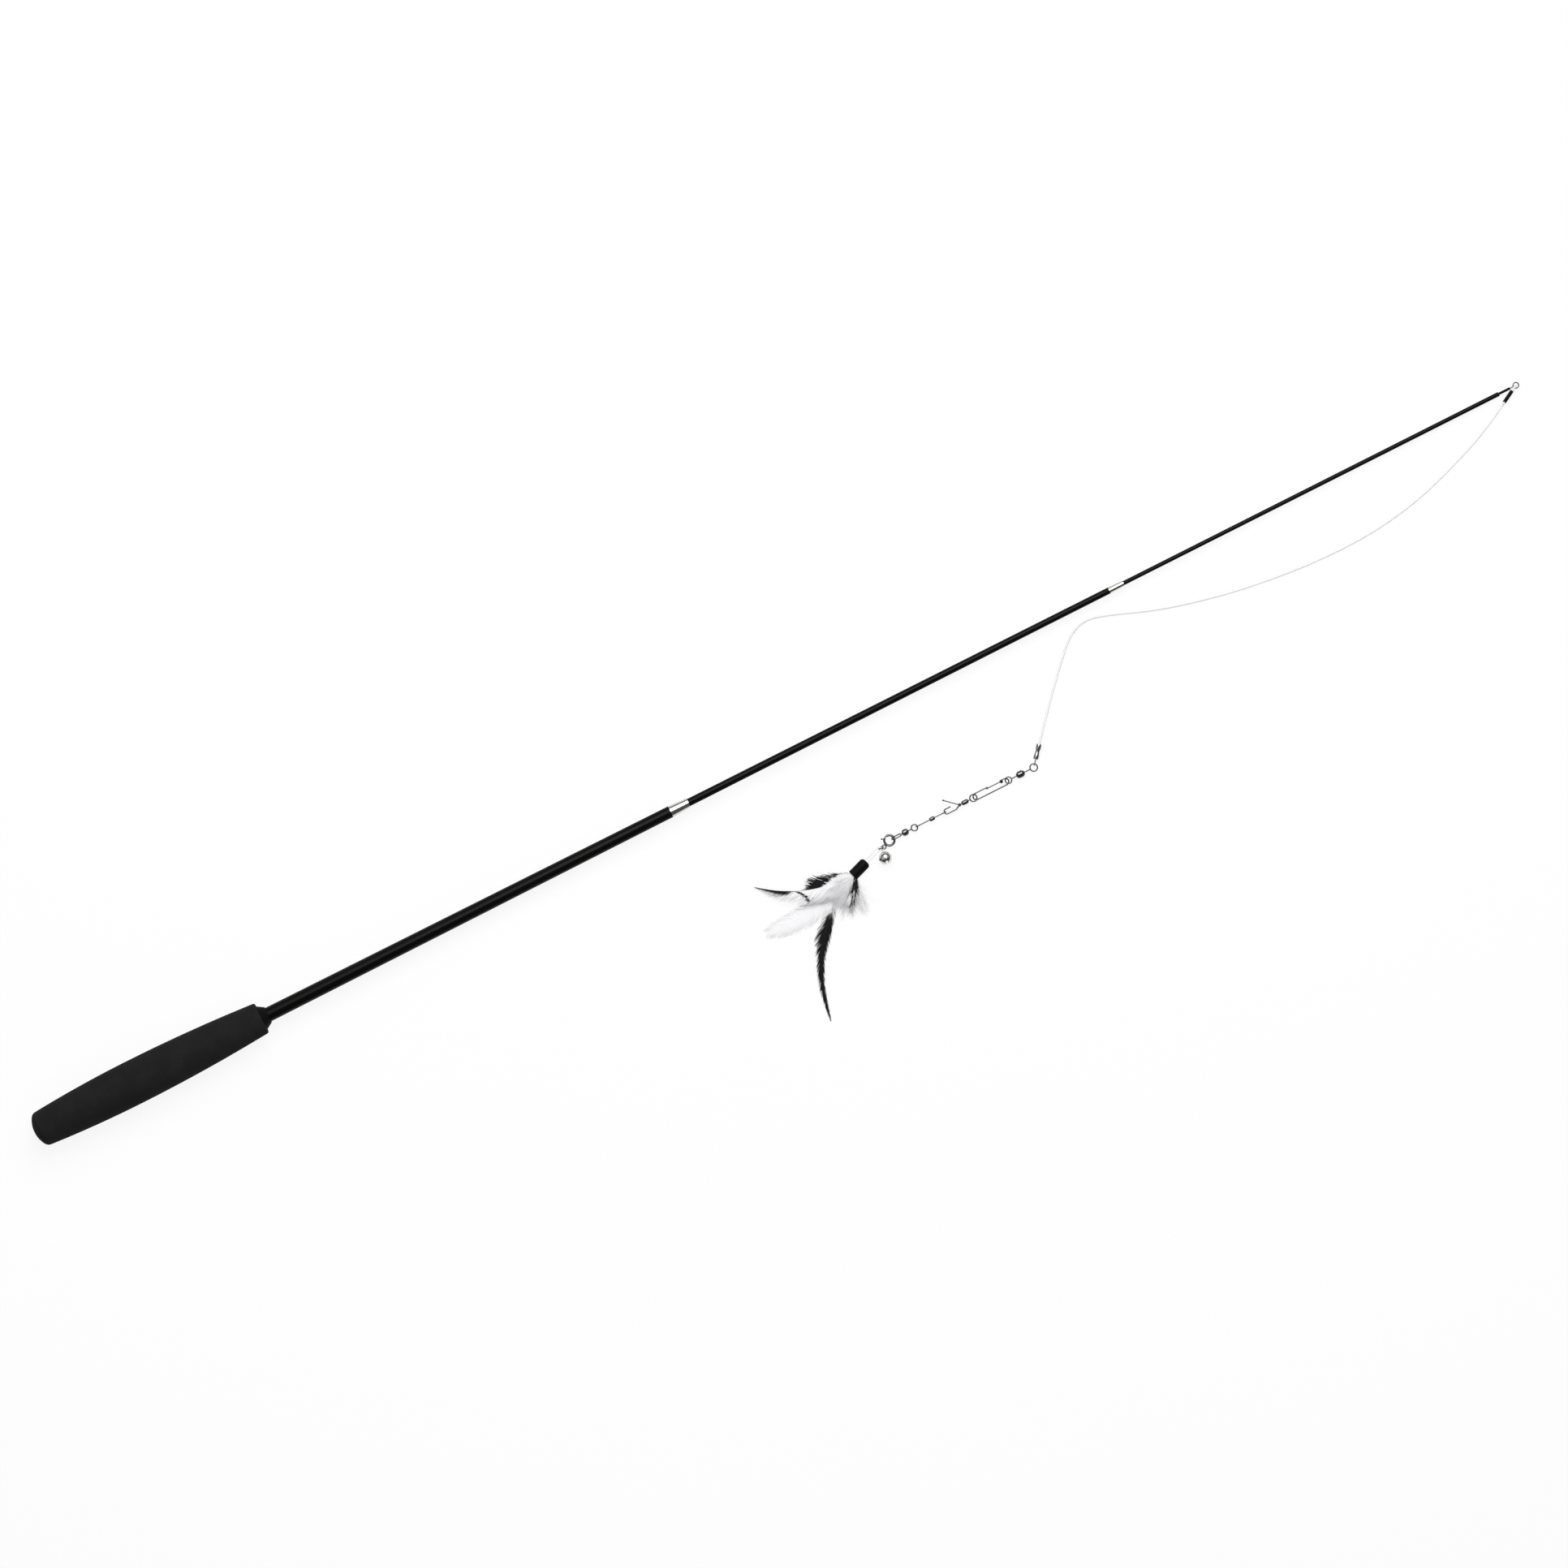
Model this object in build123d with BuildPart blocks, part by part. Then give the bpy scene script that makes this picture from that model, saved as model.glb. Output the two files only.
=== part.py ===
from build123d import *
import math
import os

os.makedirs("parts", exist_ok=True)

# Telescopic cat teaser wand lying on a table, in millimetres.
# The origin is the centre of the grip's butt face, +X runs to the tip, +Z is up.

# Grip: foam handle, a long barrel turned about the wand's axis
grip_length = 148.0
grip_belly_radius = 13.0
grip_belly_station = 64.0
grip_butt_flat = 2.5
grip_crown_radius = 16.5
grip_butt_radius = 10.4
grip_butt_round = 4.0
grip_front_radius = 9.6
grip_front_round = 1.2
collar_base_radius = 7.5
collar_length = 4.2
collar_nose_wall = 0.5
glue_gap = 0.05

# Telescopic sections: outside diameters taper, bores are straight
butt_section_start = 20.0
butt_section_length = 395.0
butt_section_diameter = 8.7
butt_section_front_diameter = 7.1
butt_section_bore = 5.6
butt_plug_length = 8.0

butt_ferrule_length = 11.7
butt_ferrule_front_diameter = 5.8
butt_ferrule_spigot = 12.0
middle_section_exposed = 275.0
middle_section_diameter = 4.7
middle_section_front_diameter = 3.9
middle_section_bore = 3.3
middle_bush_length = 12.0
middle_tail = 2.0

middle_ferrule_length = 9.4
middle_ferrule_front_diameter = 3.3
middle_ferrule_spigot = 9.0
tip_section_exposed = 245.6
tip_section_diameter = 2.6
tip_bush_length = 9.0
tip_tail = 2.0

slide_gap = 0.1
stop_gap = 0.2

# Tip end: wire eye on a shank, held by a thin black sleeve
eye_radius = 1.65
eye_wire = 0.7
eye_shank_depth = 6.0
tip_sleeve_length = 7.4
tip_sleeve_diameter = 1.5
tip_sleeve_to_eye = 3.9

# Cord: white elastic, a loop through the eye and a black oval sleeve
cord_diameter = 1.4
cord_gap = 0.05
loop_leg_offset = 1.25
loop_reach = 1.25
loop_heading = 209.0
loop_sleeve_start = 4.0
loop_sleeve_length = 8.0
loop_sleeve_wall = 0.3
loop_tail = 1.0
cord_lift = 0.02
cord_bend_share = 0.45
# Cord's route over the table: x, y, and how much of the rise to the chain's height is done there
cord_route = [
    (942.0, -14.6, 0.0),
    (917.0, -24.5, 0.0),
    (884.0, -35.0, 0.0),
    (846.0, -40.0, 0.0),
    (803.0, -38.5, 0.0),
    (760.0, -32.5, 0.0),
    (722.0, -23.0, 0.0),
    (697.0, -13.0, 0.0),
    (682.0, -8.7, 0.0),
    (670.5, -12.5, 0.0),
    (661.0, -21.5, 0.0),
    (648.5, -34.8, 0.2),
    (634.6, -50.2, 1.0),
]

# Chain of swivels and snaps, running along -X beside the wand
chain_start_x = 615.9
chain_y = -72.5
chain_height = 2.1
wire = 0.8
thin_wire = 0.7
spin_gap = 0.15
head_thickness = 0.6
barrel_side_share = 0.7
barrel_shoulder_share = 0.25

crimp_heading = 230.0
crimp_radius = 1.5
crimp_length = 9.0
crimp_from_eye = 5.0
crimp_bulges = [0.125, -0.25, 0.125]
crimp_cord_depth = 5.0
crimp_loop_half_height = 1.3

upper_eye_a_radius = 2.2
upper_barrel_centre = 8.7
upper_barrel_length = 5.0
upper_barrel_radius = 2.1
upper_wall = 0.7
upper_eye_b_station = 16.5
upper_eye_b_radius = 1.9

upper_snap_length = 23.0
upper_snap_half_width = 2.35
snap_roll = -35.0
upper_snap_stub = 4.6
upper_snap_latch = 12.6
snap_arm_wire = 0.7
snap_arm_gap = 0.25
snap_arm_overlap = 0.9
snap_ball_radius = 0.55
rivet_radius = 0.45
rivet_head_radius = 0.85
rivet_head_height = 0.35
knuckle_wall = 0.4

lower_eye_radius = 2.1
lower_barrel_gap = 0.9
lower_barrel_length = 4.2
lower_barrel_radius = 1.4
lower_wall = 0.5
lower_snap_neck = 1.4
lower_snap_spread = 3.0
lower_snap_half_width = 1.5
lower_snap_length = 9.9
lower_snap_hook = 3.2
lower_snap_arm_length = 10.0
lower_snap_arm_open = 42.0

link_eye_radius = 1.4
link_clearance = 0.2
link_barrel_length = 3.3
link_barrel_radius = 1.2
link_wall = 0.45
link_neck_a = 4.6
link_neck_b = 6.2

lure_eye_radius = 1.85
lure_barrel_gap = 2.2
lure_barrel_length = 4.0
lure_barrel_radius = 2.0
lure_wall = 0.6
lure_loop_neck = 0.7
lure_link_length = 6.0
lure_link_half_width = 1.65
lure_link_roll = 65.0

# Spring ring clasp with a sliding trigger, and its eye
clasp_radius = 3.0
clasp_tube = 1.4
clasp_bore = 1.0
clasp_trigger_wire = 0.72
clasp_gap_start = 100.0
clasp_gap_end = 132.0
clasp_nose = 97.0
clasp_trigger_tail = 175.0
clasp_nub_angle = 144.0
clasp_trigger_travel = 30.0
clasp_slot_margin = 6.0
clasp_slot_width = 0.6
clasp_nub_reach = 4.5
clasp_nub_neck = 0.4
clasp_nub_radius = 0.55
clasp_eye_angle = 204.7
clasp_eye_radius = 1.2
clasp_eye_sink = 0.3

jump_radius = 1.7
jump_heading = 175.0

# Jingle bell: two pressed half shells, a shank ring and a loose ball
bell_radius = 3.8
bell_wall = 0.35
bell_rim = 0.25
bell_rim_height = 0.5
bell_reach = 6.2
bell_shank_radius = 0.9
bell_shank_wire = 0.6
bell_slot = 0.9
bell_slot_reach = 2.6
bell_hole = 1.6
bell_ball_radius = 1.3
bell_ball_drop = 1.85
bell_table_gap = 0.05

# Lure: thread loop, cap, feathers and fluff
lure_heading = 199.0
thread = 0.5
thread_loop_radius = 0.9
thread_knot_radius = 1.6
thread_knot_length = 1.5
cap_from_jump = 10.2
cap_radius = 3.3
cap_length = 11.4
cap_wall = 0.6
cap_top = 2.0
cap_dome = 2.0
cap_thread_gap = 0.15
quill_depth = 3.5
quill_radius = 0.4
quill_into_vane = 5.0
vane_thickness = 0.5

# Feathers: tip heading, reach from the cap's mouth, bow to the left, half width, start of the vane,
# height of the quill above the cap's axis, height of the tip above the table
left_heading = 160.0
left_reach = 58.0
left_bow = 5.6
left_half_width = 4.3
left_vane_start = 9.0
left_lift = 1.6
left_tip_height = 0.6

pale_heading = 187.4
pale_reach = 61.0
pale_bow = 3.8
pale_half_width = 5.4
pale_vane_start = 8.0
pale_lift = -0.5
pale_tip_height = 0.6

tail_heading = 234.7
tail_reach = 86.0
tail_bow = -11.6
tail_half_width = 2.9
tail_vane_start = 12.0
tail_lift = -1.6
tail_tip_height = 0.6

side_heading = 237.8
side_reach = 17.8
side_bow = -1.5
side_half_width = 3.6
side_vane_start = 4.0
side_lift = 0.55
side_tip_height = 3.6

# Fluff: heading, start and clearance, then half widths and heights at four stations from the cap's mouth
fluff_heading = 190.0
fluff_start = 1.0
fluff_clear = 0.3
fluff_root_half_width = 3.4
fluff_root_half_height = 2.6
fluff_neck_station = 9.0
fluff_neck_half_width = 10.5
fluff_neck_half_height = 4.2
fluff_crown_station = 20.0
fluff_crown_half_width = 13.5
fluff_crown_half_height = 4.4
fluff_end_station = 34.0
fluff_end_half_width = 6.0
fluff_end_half_height = 2.0

# Wand stations, from the butt face along the axis
butt_end = butt_section_start + butt_section_length
middle_start = butt_end + butt_ferrule_length
middle_end = middle_start + middle_section_exposed
tip_start = middle_end + middle_ferrule_length
tip_end = tip_start + tip_section_exposed
eye_station = tip_end + tip_sleeve_length + tip_sleeve_to_eye

# The wand rests on the grip's belly and on the oval cord sleeve at its tip
sleeve_half_height = loop_leg_offset + cord_diameter / 2 + cord_gap + loop_sleeve_wall
sleeve_half_width = cord_diameter / 2 + cord_gap + loop_sleeve_wall
belly_run = grip_length - grip_belly_station
belly_drop = grip_belly_radius - grip_front_radius
belly_arc = (belly_run**2 + belly_drop**2) / (2 * belly_drop)
arc_rise = belly_arc - grip_belly_radius
eye_run = eye_station - grip_belly_station
tilt = math.asin((belly_arc - sleeve_half_height) / math.hypot(eye_run, arc_rise)) - math.atan2(arc_rise, eye_run)
along = Vector(math.cos(tilt), 0, -math.sin(tilt))
wand = Plane(origin=(0, 0, 0), x_dir=along, z_dir=(0, -1, 0))
wand_axis = Axis((0, 0, 0), along)
table_z = arc_rise * math.cos(tilt) - grip_belly_station * math.sin(tilt) - belly_arc
chain_z = table_z + chain_height


def save(made, label):
    made.part.label = label
    export_step(made.part, f"parts/{label}.step")


def turned(points):
    """A solid turned about the wand's axis from a profile of (station, radius) points."""
    with BuildPart() as made:
        with BuildSketch(wand):
            with BuildLine():
                Polyline(*points, close=True)
            make_face()
        revolve(axis=wand_axis)
    return made


# Grip: two long arcs meet at the belly, and a shallow crown with a rounded corner closes the butt
crown_rise = math.sqrt(grip_crown_radius**2 - grip_butt_flat**2)
butt_corner = (crown_rise - math.sqrt(grip_crown_radius**2 - grip_butt_radius**2), grip_butt_radius)
belly = (grip_belly_station, grip_belly_radius)
with BuildPart() as grip:
    with BuildSketch(wand):
        with BuildLine():
            Line((0, 0), (0, grip_butt_flat))
            RadiusArc((0, grip_butt_flat), butt_corner, grip_crown_radius)
            TangentArc(belly, butt_corner, tangent=(-1, 0))
            TangentArc(belly, (grip_length, grip_front_radius), tangent=(1, 0))
            Polyline((grip_length, grip_front_radius), (grip_length, 0), (0, 0))
        make_face()
    revolve(axis=wand_axis)
    fillet(grip.edges().filter_by(lambda edge: edge.is_closed).sort_by(wand_axis)[1], grip_butt_round)
    front = grip.faces().filter_by(GeomType.PLANE).sort_by(Axis.X)[-1]
    fillet(front.edges(), grip_front_round)
    with BuildSketch(Plane(front)):
        Circle(butt_section_diameter / 2 + glue_gap)
    extrude(amount=butt_section_start - grip_length, mode=Mode.SUBTRACT)
save(grip, "grip")

collar_bore = butt_section_diameter / 2 + glue_gap
grip_collar = turned([
    (grip_length, collar_bore),
    (grip_length, collar_base_radius),
    (grip_length + collar_length, collar_bore + collar_nose_wall),
    (grip_length + collar_length, collar_bore),
])
save(grip_collar, "grip_collar")

# Butt section, its rear plug and its front ferrule
butt_bore = butt_section_bore / 2
butt_section = turned([
    (butt_section_start, butt_bore),
    (butt_section_start, butt_section_diameter / 2),
    (grip_length + collar_length, butt_section_diameter / 2),
    (butt_end, butt_section_front_diameter / 2),
    (butt_end, butt_bore),
])
save(butt_section, "butt_section")

butt_plug = turned([
    (butt_section_start, 0),
    (butt_section_start, butt_bore - glue_gap),
    (butt_section_start + butt_plug_length, butt_bore - glue_gap),
    (butt_section_start + butt_plug_length, 0),
])
save(butt_plug, "butt_plug")


def ferrule(start, length, rear_diameter, front_diameter, spigot, tube_bore, rod_diameter):
    """Metal ferrule on a tube's end: a spigot in the bore and a tapered mouth round the next section."""
    mouth = rod_diameter / 2 + slide_gap
    return turned([
        (start - spigot, mouth),
        (start - spigot, tube_bore / 2 - glue_gap),
        (start, tube_bore / 2 - glue_gap),
        (start, rear_diameter / 2),
        (start + length, front_diameter / 2),
        (start + length, mouth),
    ])


def bush(front, length, tube_bore, rod_diameter):
    """Stop bush on a section's tail, running in the bore of the section behind it."""
    return turned([
        (front - length, rod_diameter / 2 + glue_gap),
        (front - length, tube_bore / 2 - slide_gap),
        (front, tube_bore / 2 - slide_gap),
        (front, rod_diameter / 2 + glue_gap),
    ])


butt_ferrule = ferrule(
    butt_end,
    butt_ferrule_length,
    butt_section_front_diameter,
    butt_ferrule_front_diameter,
    butt_ferrule_spigot,
    butt_section_bore,
    middle_section_diameter,
)
save(butt_ferrule, "butt_ferrule")

# Middle section with its stop bush and ferrule
middle_bush_front = butt_end - butt_ferrule_spigot - stop_gap
middle_base = middle_bush_front - middle_bush_length - middle_tail
middle_section = turned([
    (middle_base, middle_section_bore / 2),
    (middle_base, middle_section_diameter / 2),
    (middle_start, middle_section_diameter / 2),
    (middle_end, middle_section_front_diameter / 2),
    (middle_end, middle_section_bore / 2),
])
save(middle_section, "middle_section")

middle_bush = bush(middle_bush_front, middle_bush_length, butt_section_bore, middle_section_diameter)
save(middle_bush, "middle_bush")

middle_ferrule = ferrule(
    middle_end,
    middle_ferrule_length,
    middle_section_front_diameter,
    middle_ferrule_front_diameter,
    middle_ferrule_spigot,
    middle_section_bore,
    tip_section_diameter,
)
save(middle_ferrule, "middle_ferrule")

# Tip section, a solid rod bored at its end for the eye's shank
tip_bush_front = middle_end - middle_ferrule_spigot - stop_gap
tip_base = tip_bush_front - tip_bush_length - tip_tail
shank_hole = eye_wire / 2 + glue_gap
tip_section = turned([
    (tip_base, 0),
    (tip_base, tip_section_diameter / 2),
    (tip_end, tip_section_diameter / 2),
    (tip_end, shank_hole),
    (tip_end - eye_shank_depth, shank_hole),
    (tip_end - eye_shank_depth, 0),
])
save(tip_section, "tip_section")

tip_bush = bush(tip_bush_front, tip_bush_length, middle_section_bore, tip_section_diameter)
save(tip_bush, "tip_bush")

tip_shrink_sleeve = turned([
    (tip_end, shank_hole),
    (tip_end, tip_sleeve_diameter / 2),
    (tip_end + tip_sleeve_length, tip_sleeve_diameter / 2),
    (tip_end + tip_sleeve_length, shank_hole),
])
save(tip_shrink_sleeve, "tip_shrink_sleeve")


def across(plane, distance):
    """The plane square to a plane's own x direction, at a distance along it."""
    return Plane(origin=plane.from_local_coords((distance, 0, 0)), x_dir=plane.y_dir, z_dir=plane.x_dir)


def heading(degrees):
    return Vector(math.cos(math.radians(degrees)), math.sin(math.radians(degrees)), 0)


# Tip eye: a flat wire ring whose shank runs back into the rod
eye_centre = along * eye_station
eye_flat = Plane(origin=eye_centre, x_dir=-along, z_dir=along.cross(Vector(0, 1, 0)))
with BuildPart(eye_flat) as tip_eye:
    Torus(eye_radius, eye_wire / 2)
    with BuildSketch(across(eye_flat, eye_radius)):
        Circle(eye_wire / 2)
    extrude(amount=eye_station - eye_radius - tip_end + eye_shank_depth)
save(tip_eye, "tip_eye")


def wire_along(path, diameter):
    """A round wire swept along a path of lines and tangent arcs."""
    with BuildPart() as made:
        with BuildSketch(Plane(origin=path @ 0, z_dir=path % 0)):
            Circle(diameter / 2)
        sweep(path=path)
    return made


# Cord loop: stands on edge through the eye, both legs held by the oval sleeve
loop_dir = heading(loop_heading)
loop_plane = Plane(origin=eye_centre, x_dir=loop_dir, z_dir=(loop_dir.Y, -loop_dir.X, 0))
sleeve_end = loop_sleeve_start + loop_sleeve_length
loop_bend = eye_radius - loop_reach + loop_leg_offset
with BuildLine(loop_plane) as loop_path:
    Line((sleeve_end + loop_tail, loop_leg_offset), (loop_bend, loop_leg_offset))
    ThreePointArc(
        (loop_bend, loop_leg_offset),
        (loop_bend - loop_leg_offset, 0),
        (loop_bend, -loop_leg_offset),
    )
    Line((loop_bend, -loop_leg_offset), (sleeve_end, -loop_leg_offset))
cord_loop = wire_along(loop_path.wire(), cord_diameter)
save(cord_loop, "cord_loop")

with BuildPart() as loop_sleeve:
    with BuildSketch(across(loop_plane, loop_sleeve_start)):
        SlotCenterToCenter(2 * loop_leg_offset, 2 * sleeve_half_width)
        with Locations((-loop_leg_offset, 0), (loop_leg_offset, 0)):
            Circle(cord_diameter / 2 + cord_gap, mode=Mode.SUBTRACT)
    extrude(amount=loop_sleeve_length)
save(loop_sleeve, "loop_sleeve")

# Chain frame: local x runs down the chain, local y to the wand's side of it
chain_flat = Plane(origin=(chain_start_x, chain_y, chain_z), x_dir=(-1, 0, 0), z_dir=(0, 0, 1))


def chain_plane(station, roll=0.0):
    """A plane across the chain's line at a station, rolled about that line."""
    turn = math.radians(roll)
    return Plane(
        origin=chain_flat.from_local_coords((station, 0, 0)),
        x_dir=(-1, 0, 0),
        z_dir=(0, math.sin(turn), math.cos(turn)),
    )


def turned_round(plane):
    """The same plane with its x and y directions reversed."""
    return Plane(origin=plane.origin, x_dir=-plane.x_dir, z_dir=plane.z_dir)


# Cord crimp: a pressed barrel on the cord's end with a standing wire loop
crimp_dir = heading(crimp_heading)
crimp_plane = Plane(
    origin=(chain_start_x, chain_y, chain_z),
    x_dir=-crimp_dir,
    z_dir=(-crimp_dir.Y, crimp_dir.X, 0),
)
crimp_end = crimp_from_eye + crimp_length
crimp_bore = cord_diameter / 2 + cord_gap
crimp_band = crimp_length / len(crimp_bulges)
crimp_loop_tip = upper_eye_a_radius - wire / 2 - thin_wire / 2 - link_clearance
crimp_loop_bend = crimp_loop_tip + crimp_loop_half_height
with BuildLine(crimp_plane) as crimp_loop_path:
    Line((crimp_from_eye + thin_wire, crimp_loop_half_height), (crimp_loop_bend, crimp_loop_half_height))
    ThreePointArc(
        (crimp_loop_bend, crimp_loop_half_height),
        (crimp_loop_tip, 0),
        (crimp_loop_bend, -crimp_loop_half_height),
    )
    Line((crimp_loop_bend, -crimp_loop_half_height), (crimp_from_eye + thin_wire, -crimp_loop_half_height))
with BuildPart() as cord_crimp:
    with BuildSketch(crimp_plane):
        with BuildLine():
            Line((crimp_from_eye, 0), (crimp_from_eye, crimp_radius))
            for band, bulge in enumerate(crimp_bulges):
                band_start = crimp_from_eye + band * crimp_band
                ThreePointArc(
                    (band_start, crimp_radius),
                    (band_start + crimp_band / 2, crimp_radius + bulge),
                    (band_start + crimp_band, crimp_radius),
                )
            Polyline(
                (crimp_end, crimp_radius),
                (crimp_end, crimp_bore),
                (crimp_end - crimp_cord_depth, crimp_bore),
                (crimp_end - crimp_cord_depth, 0),
                (crimp_from_eye, 0),
            )
        make_face()
    revolve(axis=Axis(crimp_plane.origin, crimp_plane.x_dir))
    crimp_loop_start = Plane(origin=crimp_loop_path.wire() @ 0, z_dir=crimp_loop_path.wire() % 0)
    with BuildSketch(crimp_loop_start):
        Circle(thin_wire / 2)
    sweep(path=crimp_loop_path.wire())
save(cord_crimp, "cord_crimp")

# Cord route on the table, from the oval sleeve to the crimp
cord_z = table_z + cord_diameter / 2 + cord_lift
sleeve_mouth = loop_plane.from_local_coords((sleeve_end, -loop_leg_offset, 0))
crimp_mouth = crimp_plane.from_local_coords((crimp_end - crimp_cord_depth, 0, 0))
cord_points = [
    (sleeve_mouth.X, sleeve_mouth.Y, sleeve_mouth.Z),
    *((x, y, cord_z + rise * (chain_z - cord_z)) for x, y, rise in cord_route),
    (crimp_mouth.X, crimp_mouth.Y, crimp_mouth.Z),
]
points = [Vector(*p) for p in cord_points]
cord_radii = []
for before, corner, after in zip(points, points[1:], points[2:]):
    half_turn = math.radians((corner - before).get_angle(after - corner)) / 2
    shorter = min((corner - before).length, (after - corner).length)
    cord_radii.append(cord_bend_share * shorter / math.tan(half_turn))
print("cord radii", [round(r, 1) for r in cord_radii])
with BuildLine() as cord_path:
    FilletPolyline(*points, radius=cord_radii)
cord_line = cord_path.wire()
cord = wire_along(cord_line, cord_diameter)
save(cord, "cord")
cord_area = math.pi * cord_diameter**2 / 4
print("cord length", round(cord_line.length, 1), "fill", round(cord.part.volume / cord_area / cord_line.length, 4))


def barrel_profile(length, radius, end_wall, stem):
    """Hollow swivel barrel, waisted at both ends, about local x from 0 to its length."""
    bore = stem / 2 + spin_gap
    neck = bore + end_wall
    inside = radius - end_wall * barrel_side_share
    shoulder = length * barrel_shoulder_share
    return [
        (0, bore),
        (0, neck),
        (shoulder, radius),
        (length - shoulder, radius),
        (length, neck),
        (length, bore),
        (length - end_wall, bore),
        (length - end_wall, inside),
        (end_wall, inside),
        (end_wall, bore),
    ]


def barrel(start, length, radius, end_wall, stem):
    plane = chain_plane(start)
    with BuildPart() as made:
        with BuildSketch(plane):
            with BuildLine():
                Polyline(*barrel_profile(length, radius, end_wall, stem), close=True)
            make_face()
        revolve(axis=Axis(plane.origin, plane.x_dir))
    return made


def add_stem(plane, start, reach, stem, head):
    """Adds a stem along the plane's x direction, ending in the head that a barrel holds."""
    with BuildSketch(across(plane, start)) as stem_section:
        Circle(stem / 2)
    extrude(stem_section.sketch, amount=reach - start)
    with BuildSketch(across(plane, reach)) as head_section:
        Circle(head)
    extrude(head_section.sketch, amount=-head_thickness)


def swivel_eye(plane, radius, diameter, reach, head):
    """Wire eye in a plane, with a stem along the plane's x direction."""
    with BuildPart(plane) as made:
        Torus(radius, diameter / 2)
        add_stem(plane, radius, reach, diameter, head)
    return made


def head_reach(wall):
    """How far a stem goes into a barrel: its wall, the running gap and the head."""
    return wall + spin_gap + head_thickness


def head_radius(radius, wall):
    """The head that turns freely inside a barrel."""
    return radius - wall * barrel_side_share - 2 * spin_gap


# Upper swivel
upper_barrel_start = upper_barrel_centre - upper_barrel_length / 2
upper_barrel_end = upper_barrel_start + upper_barrel_length
upper_head = head_radius(upper_barrel_radius, upper_wall)
upper_swivel_eye_a = swivel_eye(
    chain_plane(0), upper_eye_a_radius, wire, upper_barrel_start + head_reach(upper_wall), upper_head
)
save(upper_swivel_eye_a, "upper_swivel_eye_a")
upper_swivel_barrel = barrel(upper_barrel_start, upper_barrel_length, upper_barrel_radius, upper_wall, wire)
save(upper_swivel_barrel, "upper_swivel_barrel")
upper_swivel_eye_b = swivel_eye(
    turned_round(chain_plane(upper_eye_b_station)),
    upper_eye_b_radius,
    wire,
    upper_eye_b_station - upper_barrel_end + head_reach(upper_wall),
    upper_head,
)
save(upper_swivel_eye_b, "upper_swivel_eye_b")

# Snap arms lie on the snap's own plane, above its wire, and turn on a rivet
arm_lift = wire / 2 + snap_arm_gap + snap_arm_wire / 2
rivet_top = arm_lift + snap_arm_wire / 2 + snap_arm_gap / 2
knuckle_bore = rivet_radius + spin_gap


def add_rivet(plane, x, y):
    """Adds a headed rivet standing on a snap's wire."""
    at = plane.from_local_coords((x, y, 0))
    with BuildSketch(Plane(origin=at, x_dir=plane.x_dir, z_dir=plane.z_dir)) as shank_section:
        Circle(rivet_radius)
    extrude(shank_section.sketch, amount=rivet_top + rivet_head_height)
    head_base = at + plane.z_dir * rivet_top
    with BuildSketch(Plane(origin=head_base, x_dir=plane.x_dir, z_dir=plane.z_dir)) as head_section:
        Circle(rivet_head_radius)
    extrude(head_section.sketch, amount=rivet_head_height)


def snap_arm(plane, x, y, length, degrees):
    """Spring arm with a knuckle round its rivet and a rounded end."""
    turn = math.radians(degrees)
    base = plane.from_local_coords((x, y, arm_lift))
    run = plane.x_dir * math.cos(turn) + plane.y_dir * math.sin(turn)
    arm_plane = Plane(origin=base, x_dir=run, z_dir=plane.z_dir)
    with BuildPart() as made:
        with BuildSketch(across(arm_plane, knuckle_bore + knuckle_wall / 2)):
            Circle(snap_arm_wire / 2)
        extrude(amount=length - knuckle_bore - knuckle_wall / 2)
        with BuildSketch(arm_plane.offset(-snap_arm_wire / 2)):
            Circle(knuckle_bore + knuckle_wall)
            Circle(knuckle_bore, mode=Mode.SUBTRACT)
        extrude(amount=snap_arm_wire)
        with Locations(across(arm_plane, length).location):
            Sphere(snap_ball_radius)
    return made


# Upper snap: a long wire oval through the swivel's eye, open where its arm lies
upper_snap_plane = chain_plane(upper_eye_b_station, snap_roll)
snap_far = upper_snap_length - upper_snap_half_width
with BuildLine(upper_snap_plane) as upper_snap_path:
    Line((upper_snap_stub, -upper_snap_half_width), (upper_snap_half_width, -upper_snap_half_width))
    ThreePointArc(
        (upper_snap_half_width, -upper_snap_half_width),
        (0, 0),
        (upper_snap_half_width, upper_snap_half_width),
    )
    Line((upper_snap_half_width, upper_snap_half_width), (snap_far, upper_snap_half_width))
    ThreePointArc(
        (snap_far, upper_snap_half_width),
        (upper_snap_length, 0),
        (snap_far, -upper_snap_half_width),
    )
    Line((snap_far, -upper_snap_half_width), (upper_snap_latch, -upper_snap_half_width))
upper_snap_rivet = upper_snap_stub - rivet_radius
with BuildPart() as upper_snap_wire:
    with BuildSketch(Plane(origin=upper_snap_path.wire() @ 0, z_dir=upper_snap_path.wire() % 0)):
        Circle(wire / 2)
    sweep(path=upper_snap_path.wire())
    add_rivet(upper_snap_plane, upper_snap_rivet, -upper_snap_half_width)
save(upper_snap_wire, "upper_snap_wire")
upper_snap_arm = snap_arm(
    upper_snap_plane,
    upper_snap_rivet,
    -upper_snap_half_width,
    upper_snap_latch + snap_arm_overlap - upper_snap_rivet,
    0,
)
save(upper_snap_arm, "upper_snap_arm")

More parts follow.
